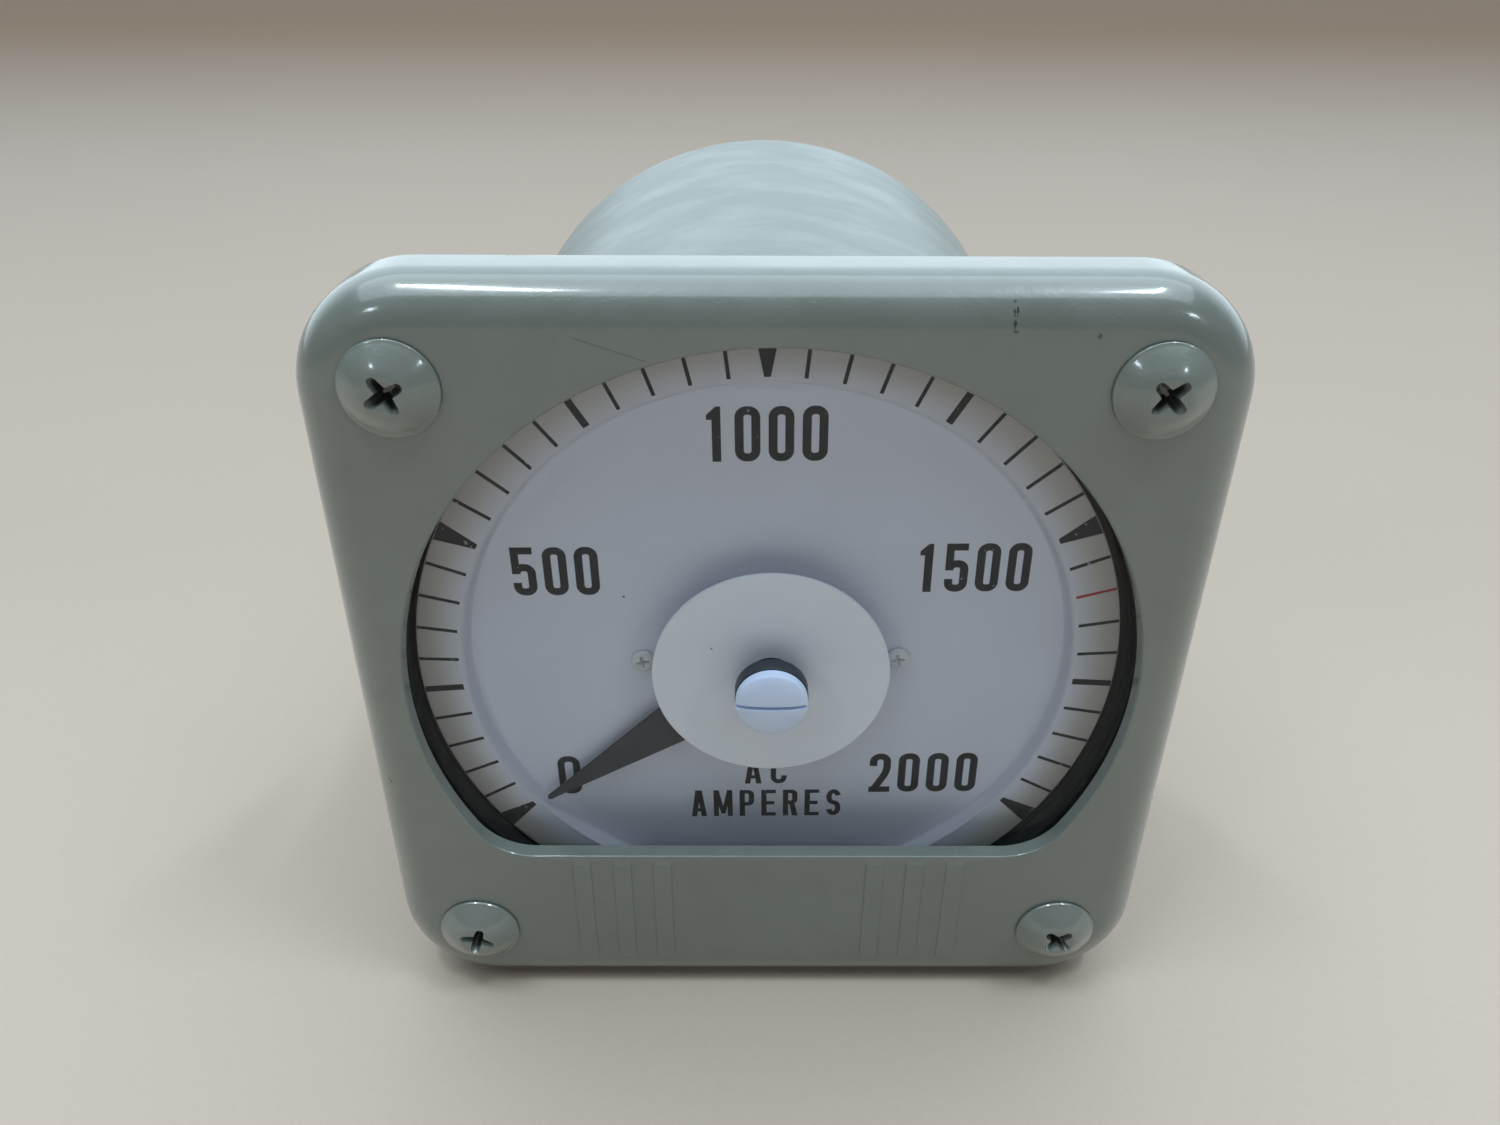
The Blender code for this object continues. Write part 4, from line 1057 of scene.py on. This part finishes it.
def word(text, centre_x, low, height, width, weight, gap):
    """A line of characters, centred on centre_x and as wide as given."""
    units = [WIDTHS.get(character, 1.0) for character in text]
    unit = (width - gap * (len(text) - 1)) / sum(units)
    solids, holes = [], []
    x = centre_x - width / 2
    for character, share in zip(text, units):
        outlines, gaps = letter(character, height, unit * share, weight)
        solids += [dial_place([(x + px, low + pz) for px, pz in outline]) for outline in outlines]
        holes += [dial_place([(x + px, low + pz) for px, pz in outline]) for outline in gaps]
        x += unit * share + gap
    return solids, holes


def make_lettering(front, black):
    number, unit_name = 0.0076, 0.0053
    lines = [
        word("1000", 0.0, 0.0310, number, 0.01545, 0.00114, 0.00105),
        word("500", -0.0288, 0.0110, number, 0.0118, 0.00114, 0.00105),
        word("1500", 0.02815, 0.0110, number, 0.0151, 0.00114, 0.00105),
        word("2000", 0.0236, -0.0252, number, 0.0163, 0.00114, 0.00115),
        word("0", -0.0301, -0.0250, 0.0074, 0.0034, 0.00108, 0.0),
        word("AC", -0.0003, -0.0233, unit_name, 0.0064, 0.00082, 0.0014),
        word("AMPERES", -0.00027, -0.0299, unit_name, 0.0231, 0.00082, 0.0011),
    ]
    parts = [flat_solid(solids, holes, front - INK, front - INK / 6) for solids, holes in lines]
    add_piece("dial_lettering", joined(parts), black)


# Hub, adjuster and moving element


def make_hub(white, black):
    profile = tube(0.0033, radius_of("hub_disc"), *depths("hub_disc"))
    profile = softened(profile, {1: 0.00015, 2: 0.0001})
    add_piece("hub_cover_disc", turned(profile, 160), white, ["hub_disc"])

    front, back = depths("adjuster_bush")
    collar_back = depths("window_pane")[0] - 0.0002
    radius = radius_of("adjuster_bush")
    profile = [(0.0022, front), (radius, front), (radius, collar_back), (0.0031, collar_back)]
    profile += [(0.0031, back), (0.0022, back)]
    profile = softened(profile, {1: 0.0002, 2: 0.0001})
    add_piece("adjuster_collar", turned(profile, 96), black, ["adjuster_bush"])


def make_adjuster(white):
    """The slotted, domed adjuster."""
    front, back = depths("zero_adjuster")
    radius = radius_of("zero_adjuster")
    side, dome = 0.0013, -front - 0.0013
    profile = []
    steps = 16
    for i in range(steps + 1):
        swing = math.pi / 2 * i / steps
        profile.append((radius * math.sin(swing), -side - dome * math.cos(swing)))
    stem = depths("adjuster_crank")[0]
    profile += [(radius, -0.0001), (radius - 0.0001, 0.0), (0.002, 0.0), (0.002, stem)]
    profile += [(0.0014, stem), (0.0014, back), (0.0, back)]
    cutter = bmesh.new()
    outline = rounded_rectangle(0.00030, 0.0008, 0.00025, 4)
    slot_floor = FACE_Y - side - dome + 0.00035
    ends = [
        [cutter.verts.new(Vector((end, slot_floor + z, AXIS_Z + x))) for x, z in outline]
        for end in (-0.006, 0.006)
    ]
    skin(cutter, *ends)
    for end in ends:
        fill(cutter, end)
    knob = turned(profile, 128)
    node = "zero_adjuster"
    add_piece("slotted_adjuster", knob, white, [node], node, [cutter])


def make_pointer(black):
    """The broad pointer, which tapers to a blunt tip."""
    front, back = depths("pointer")
    half_outline = [(0.0014, 0.0060), (0.0034, 0.0150), (0.0034, 0.0178)]
    half_outline += [(0.0008, 0.0378), (0.0004, 0.0414)]
    left = [(-x, z) for x, z in reversed(half_outline)]
    hub = arc(0.0027, math.radians(205), math.radians(335), 16)
    outline = [(0.0, 0.0417), *left, *hub, *half_outline]
    bm = flat_solid([outline], [circle(0.00072, 32)], front, back)
    edges = [e for e in bm.edges if len(e.link_faces) == 2 and e.calc_face_angle(0) > 1.0]
    bevel = {"offset": 0.00006, "segments": 2, "affect": "EDGES", "clamp_overlap": True}
    bmesh.ops.bevel(bm, geom=edges, **bevel)
    turn = Matrix.Rotation(REST_ANGLE, 3, "Y")
    bmesh.ops.rotate(bm, verts=bm.verts, cent=place_of(0.0, 0.0, 0.0), matrix=turn)
    add_piece("pointer_blade", bm, black, ["pointer"], body="moving_element")


# Rear

STUD_RADIUS = 0.0031
STUD_HEAD_RADIUS = 0.0054


def make_terminals(phenolic, brass):
    """The moulded base, with a raised boss for the two studs and their nuts."""
    front, back = depths("terminal_base")
    shelf = depths("case")[1] - 0.006
    foot = shelf - 0.001
    base = tube(0.0, radius_of("terminal_base"), front, shelf)
    base = turned(softened(base, {1: 0.0005, 2: 0.0005}), 96)
    boss = bmesh.new()
    edge = 0.0008
    loops = [add_loop(boss, rounded_rectangle(0.030, 0.015, 0.004, 10), foot)]
    for i in range(5):
        swing = math.pi / 2 * i / 4
        inset = edge * (1 - math.cos(swing))
        points = rounded_rectangle(0.030 - inset, 0.015 - inset, 0.004 - inset, 10)
        loops.append(add_loop(boss, points, back - edge * (1 - math.sin(swing))))
    skin(boss, *loops)
    fill(boss, loops[0])
    holes = [circle(0.0034, 40, centre_of(f"terminal_stud_{side}")) for side in SIDES]
    hole_loops = [add_loop(boss, hole, back) for hole in holes]
    pit_loops = [add_loop(boss, hole, foot) for hole in holes]
    for near, far in zip(hole_loops, pit_loops):
        skin(boss, near, far)
    boss.faces.ensure_lookup_table()
    bottom = [face for face in boss.faces if all(vert in loops[0] for vert in face.verts)]
    bmesh.ops.delete(boss, geom=bottom, context="FACES_ONLY")
    fill(boss, loops[0], *pit_loops)
    fill(boss, loops[-1], *hole_loops)
    add_piece("terminal_base_disc", base, phenolic)
    add_piece("terminal_boss", boss, phenolic, ["terminal_base"])

    for side in SIDES:
        node = f"terminal_stud_{side}"
        centre = centre_of(node)
        front, end = depths(node)
        start = back - 0.001
        head = tube(0.0, STUD_HEAD_RADIUS, front, front + 0.004)[:3]
        head += [(STUD_RADIUS, front + 0.004), (STUD_RADIUS, start), (0.0, start)]
        add_piece(f"stud_head_{side}", turned(head, 48, centre), brass, [node])
        thread = screw_thread(centre, STUD_RADIUS, 0.001, start, end, 0.0009)
        add_piece(f"stud_thread_{side}", thread, brass)
        nut, ring = f"terminal_nut_{side}", f"terminal_washer_{side}"
        add_piece(f"stud_nut_{side}", hex_nut(centre, nut, 0.0032), brass, [nut])
        add_piece(f"stud_washer_{side}", washer(centre, ring, 0.0034), brass, [ring])


def make_case_screws(steel):
    for index, label in enumerate(("upper", "lower")):
        node = f"case_screw_{label}"
        centre = centre_of(node)
        start, end = depths(node)
        seat = depths("case")[1] + 0.00012
        radius = radius_of(node)
        rim = seat + 0.0007
        profile = tube(0.0, 0.0017, start, seat)[:3] + [(radius, seat), (radius, rim)]
        for i in range(1, 8):
            swing = math.pi / 2 * i / 8
            rise = (end - seat - 0.0007) * math.sin(swing)
            profile.append((radius * math.cos(swing), rim + rise))
        profile.append((0.0, end))
        slot = rotated_box(0.004, 0.00045, 0.5 + index, centre)
        cutter = flat_solid([slot], [], end - 0.0009, end + 0.001)
        head = turned(profile, 56, centre)
        name = f"case_screw_head_{label}"
        add_piece(name, head, steel, [node], cutters=[cutter])


def rotated_box(half_x, half_z, turn, centre):
    points = []
    for x, z in box_outline(-half_x, -half_z, half_x, half_z):
        across = Matrix.Rotation(turn, 2) @ Vector((x, z))
        points.append((centre[0] + across.x, centre[1] + across.y))
    return points


# Studio

COOL = (0.79, 0.92, 1.0)
SKY_BRIGHTEST = (0.0, 1.0, 0.0)
SKY_DIM = 0.18
SKY_BRIGHT = 1.55

# Where the camera stands off the dial's centre, and its yaw, pitch and roll.
CAMERA_OFFSET = (-0.00363, -0.12106, 0.09272)
CAMERA_TURN = (0.00506, -0.53213, 0.0049)

# Each lamp's place, target, size and power in watts.
LAMPS = {
    "overhead": ((0.0, -0.05, 1.1), (0.0, -0.05, 0.0), (2.0, 1.08), 12.9),
    "lamp_left": ((-0.27, -0.22, 1.08), (0.0, -0.07, 0.1), (0.28, 0.05), 2.2),
    "lamp_right": ((0.43, -0.22, 1.08), (0.0, -0.07, 0.1), (0.24, 0.05), 2.6),
    "lamp_front_left": ((-0.56, -0.70, 0.62), (0.0, -0.07, 0.08), (0.09, 0.07), 0.38),
    "lamp_front_right": ((0.66, -0.64, 0.55), (0.0, -0.07, 0.08), (0.09, 0.07), 0.38),
}


def make_camera():
    """The view from above and in front, by where it stands and how it is turned."""
    data = bpy.data.cameras.new("camera")
    data.sensor_width = 36.0
    data.lens = 26.87
    data.clip_start = 0.005
    camera = bpy.data.objects.new("camera", data)
    bpy.context.scene.collection.objects.link(camera)
    yaw, pitch, roll = CAMERA_TURN
    level = Vector((math.cos(yaw), -math.sin(yaw), 0.0))
    flat = math.cos(pitch)
    forward = Vector((math.sin(yaw) * flat, math.cos(yaw) * flat, math.sin(pitch)))
    upward = level.cross(forward)
    right = level * math.cos(roll) + upward * math.sin(roll)
    up = upward * math.cos(roll) - level * math.sin(roll)
    turn = Matrix((right, up, -forward)).transposed()
    camera.matrix_world = Matrix.Translation(place_of(*CAMERA_OFFSET)) @ turn.to_4x4()
    bpy.context.scene.camera = camera


def make_lamps():
    for name, (place, target, size, power) in LAMPS.items():
        data = bpy.data.lights.new(name, "AREA")
        data.shape = "RECTANGLE"
        data.size, data.size_y = size
        data.energy = power
        data.color = COOL
        lamp = bpy.data.objects.new(name, data)
        bpy.context.scene.collection.objects.link(lamp)
        lamp.location = place
        beam = Vector(target) - Vector(place)
        lamp.rotation_euler = beam.to_track_quat("-Z", "Y").to_euler()


def make_floor():
    """Warm paper, with painted light and shade that make it paler in front of the meter and darker
    behind it, and brown far behind it.
    """
    finish = Finish("floor_paper", (0.47, 0.39, 0.33), 0.8)
    finish.mottle(6.0, 3.0, 0.35, 0.7, 0.5, (0.50, 0.417, 0.353))
    finish.mottle(900.0, 4.0, 0.5, 0.8, 0.25, (0.40, 0.33, 0.272))
    finish.relief(finish.noise(700.0, 3.0), 0.00006)
    behind = finish.axes()["Y"]
    # Painted light and shade: darker behind the meter, so the paper in front, in the meter's
    # shadow, reads paler.
    finish.tint(finish.spread(behind, -0.12, 0.10, 0.0, 0.6), (0.38, 0.31, 0.256))
    finish.tint(finish.spread(behind, 0.5, 1.6), (0.30, 0.185, 0.10))
    bm = bmesh.new()
    bmesh.ops.create_grid(bm, x_segments=8, y_segments=8, size=6.0)
    floor = new_object("floor", bm, finish.material)


def make_sky():
    """A room that is bright behind the meter, and dim and warm in front of it."""
    world = bpy.data.worlds.new("studio")
    world.use_nodes = True
    tree = world.node_tree
    background = tree.nodes["Background"]
    direction = add_node(tree, "TexCoord")
    towards = add_node(tree, "VectorMath", {1: SKY_BRIGHTEST}, operation="DOT_PRODUCT")
    limits = {"From Min": -0.02, "From Max": 0.62, "To Min": SKY_DIM, "To Max": SKY_BRIGHT}
    ramp = add_node(tree, "MapRange", limits, interpolation_type="SMOOTHSTEP")
    warm, cool = (1.0, 0.97, 0.92, 1.0), (0.80, 0.93, 1.0, 1.0)
    hue = add_node(tree, "Mix", {"A": warm, "B": cool}, data_type="RGBA")
    cooler = add_node(tree, "MapRange", {"From Min": -0.5, "From Max": 0.3})
    for source, target in (
        (direction.outputs["Generated"], towards.inputs[0]),
        (towards.outputs["Value"], ramp.inputs["Value"]),
        (ramp.outputs["Result"], background.inputs["Strength"]),
        (towards.outputs["Value"], cooler.inputs["Value"]),
        (cooler.outputs["Result"], hue.inputs["Factor"]),
        (hue.outputs["Result"], background.inputs["Color"]),
    ):
        tree.links.new(source, target)
    bpy.context.scene.world = world
    bpy.context.scene.view_settings.view_transform = "Standard"


def finish_inner_nodes(looks):
    """Gives each CAD node that still shows a finished material of its own kind."""
    for look, nodes in looks:
        for node in nodes.split():
            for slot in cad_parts[node].material_slots:
                slot.material = look


def main():
    make_camera()
    make_floor()
    make_sky()
    make_lamps()

    enamel = flange_paint().material
    screws = screw_paint().material
    steel = metal("zinc_plated_steel", (0.60, 0.60, 0.58), 0.32, (0.42, 0.40, 0.34)).material
    brass = metal("brass", (0.76, 0.58, 0.28), 0.3, (0.45, 0.30, 0.13)).material
    phenolic = plastic("black_phenolic", (0.03, 0.028, 0.026), 0.36).material
    black_rubber = rubber("black_rubber").material
    ink = print_ink("dial_ink", (0.022, 0.024, 0.03)).material
    red_ink = print_ink("red_ink", (0.42, 0.03, 0.03)).material
    pointer_black = plastic("pointer_enamel", (0.031, 0.035, 0.047), 0.5, 0.2, 0.00001).material
    # The white hub's blue tint is a painted cast standing in for the cool light on it.
    hub = plastic("hub_white", (0.86, 0.875, 0.965), 0.5, 0.15, 0.000006)
    hub.spot(-0.0082, 0.0, 0.0048, 0.00020, (0.2, 0.2, 0.21), (1.0, 0.0, 1.0), 0.3)
    # The white adjuster is given a darker blue-grey: painted cool light and shade standing in for
    # how it is lit.
    adjuster_white = plastic("adjuster_white", (0.55, 0.66, 0.90), 0.34, 0.15, 0.000008).material
    nylon = plastic("black_nylon", (0.02, 0.027, 0.040), 0.45).material
    screw_white = plastic("dial_screw_white", (0.68, 0.69, 0.72), 0.4).material
    brushed = (0.1, 1.0, 1.0)
    aluminium = metal("aluminium", (0.78, 0.78, 0.79), 0.34, (0.6, 0.6, 0.6), brushed).material
    soft_iron = metal("soft_iron", (0.36, 0.36, 0.36), 0.5, (0.2, 0.19, 0.18)).material
    bronze = metal("spring_bronze", (0.66, 0.42, 0.22), 0.28, (0.4, 0.24, 0.12)).material
    copper_wire = winding("copper_winding").material
    magnet_steel = metal("magnet_steel", (0.28, 0.28, 0.30), 0.45, (0.16, 0.15, 0.14)).material
    jewel = plastic("jewel_red", (0.40, 0.03, 0.06), 0.1, 0.0, 0.000002).material

    make_flange_cover(enamel)
    make_mounting_hardware(screws, steel)
    make_window(window_glass(), black_rubber)
    make_case(case_paint().material)
    make_sheets(paint_finish("plate_enamel").material, black_rubber)
    ring_front, dial_front = make_dial(dial_paint().material)
    make_dial_screws(screw_white)
    make_scale(ring_front, ink, red_ink)
    make_lettering(dial_front, ink)
    make_hub(hub.material, nylon)
    make_adjuster(adjuster_white)
    make_pointer(pointer_black)
    make_terminals(phenolic, brass)
    make_case_screws(steel)
    finish_inner_nodes((
        (steel, "bush_clip shaft case_spacer_upper case_spacer_lower"),
        (brass, "adjuster_crank zero_lever pointer_hub spring_collet rear_jewel_screw"),
        (brass, "frame_post_tl frame_post_tr frame_post_bl frame_post_br"),
        (aluminium, "damping_disc front_plate rear_bridge"),
        (soft_iron, "moving_vane fixed_vane"),
        (copper_wire, "coil_winding coil_lead_left coil_lead_right"),
        (bronze, "hairspring"),
        (jewel, "front_jewel"),
        (phenolic, "coil_bobbin"),
        (magnet_steel, "damping_magnet"),
    ))


main()
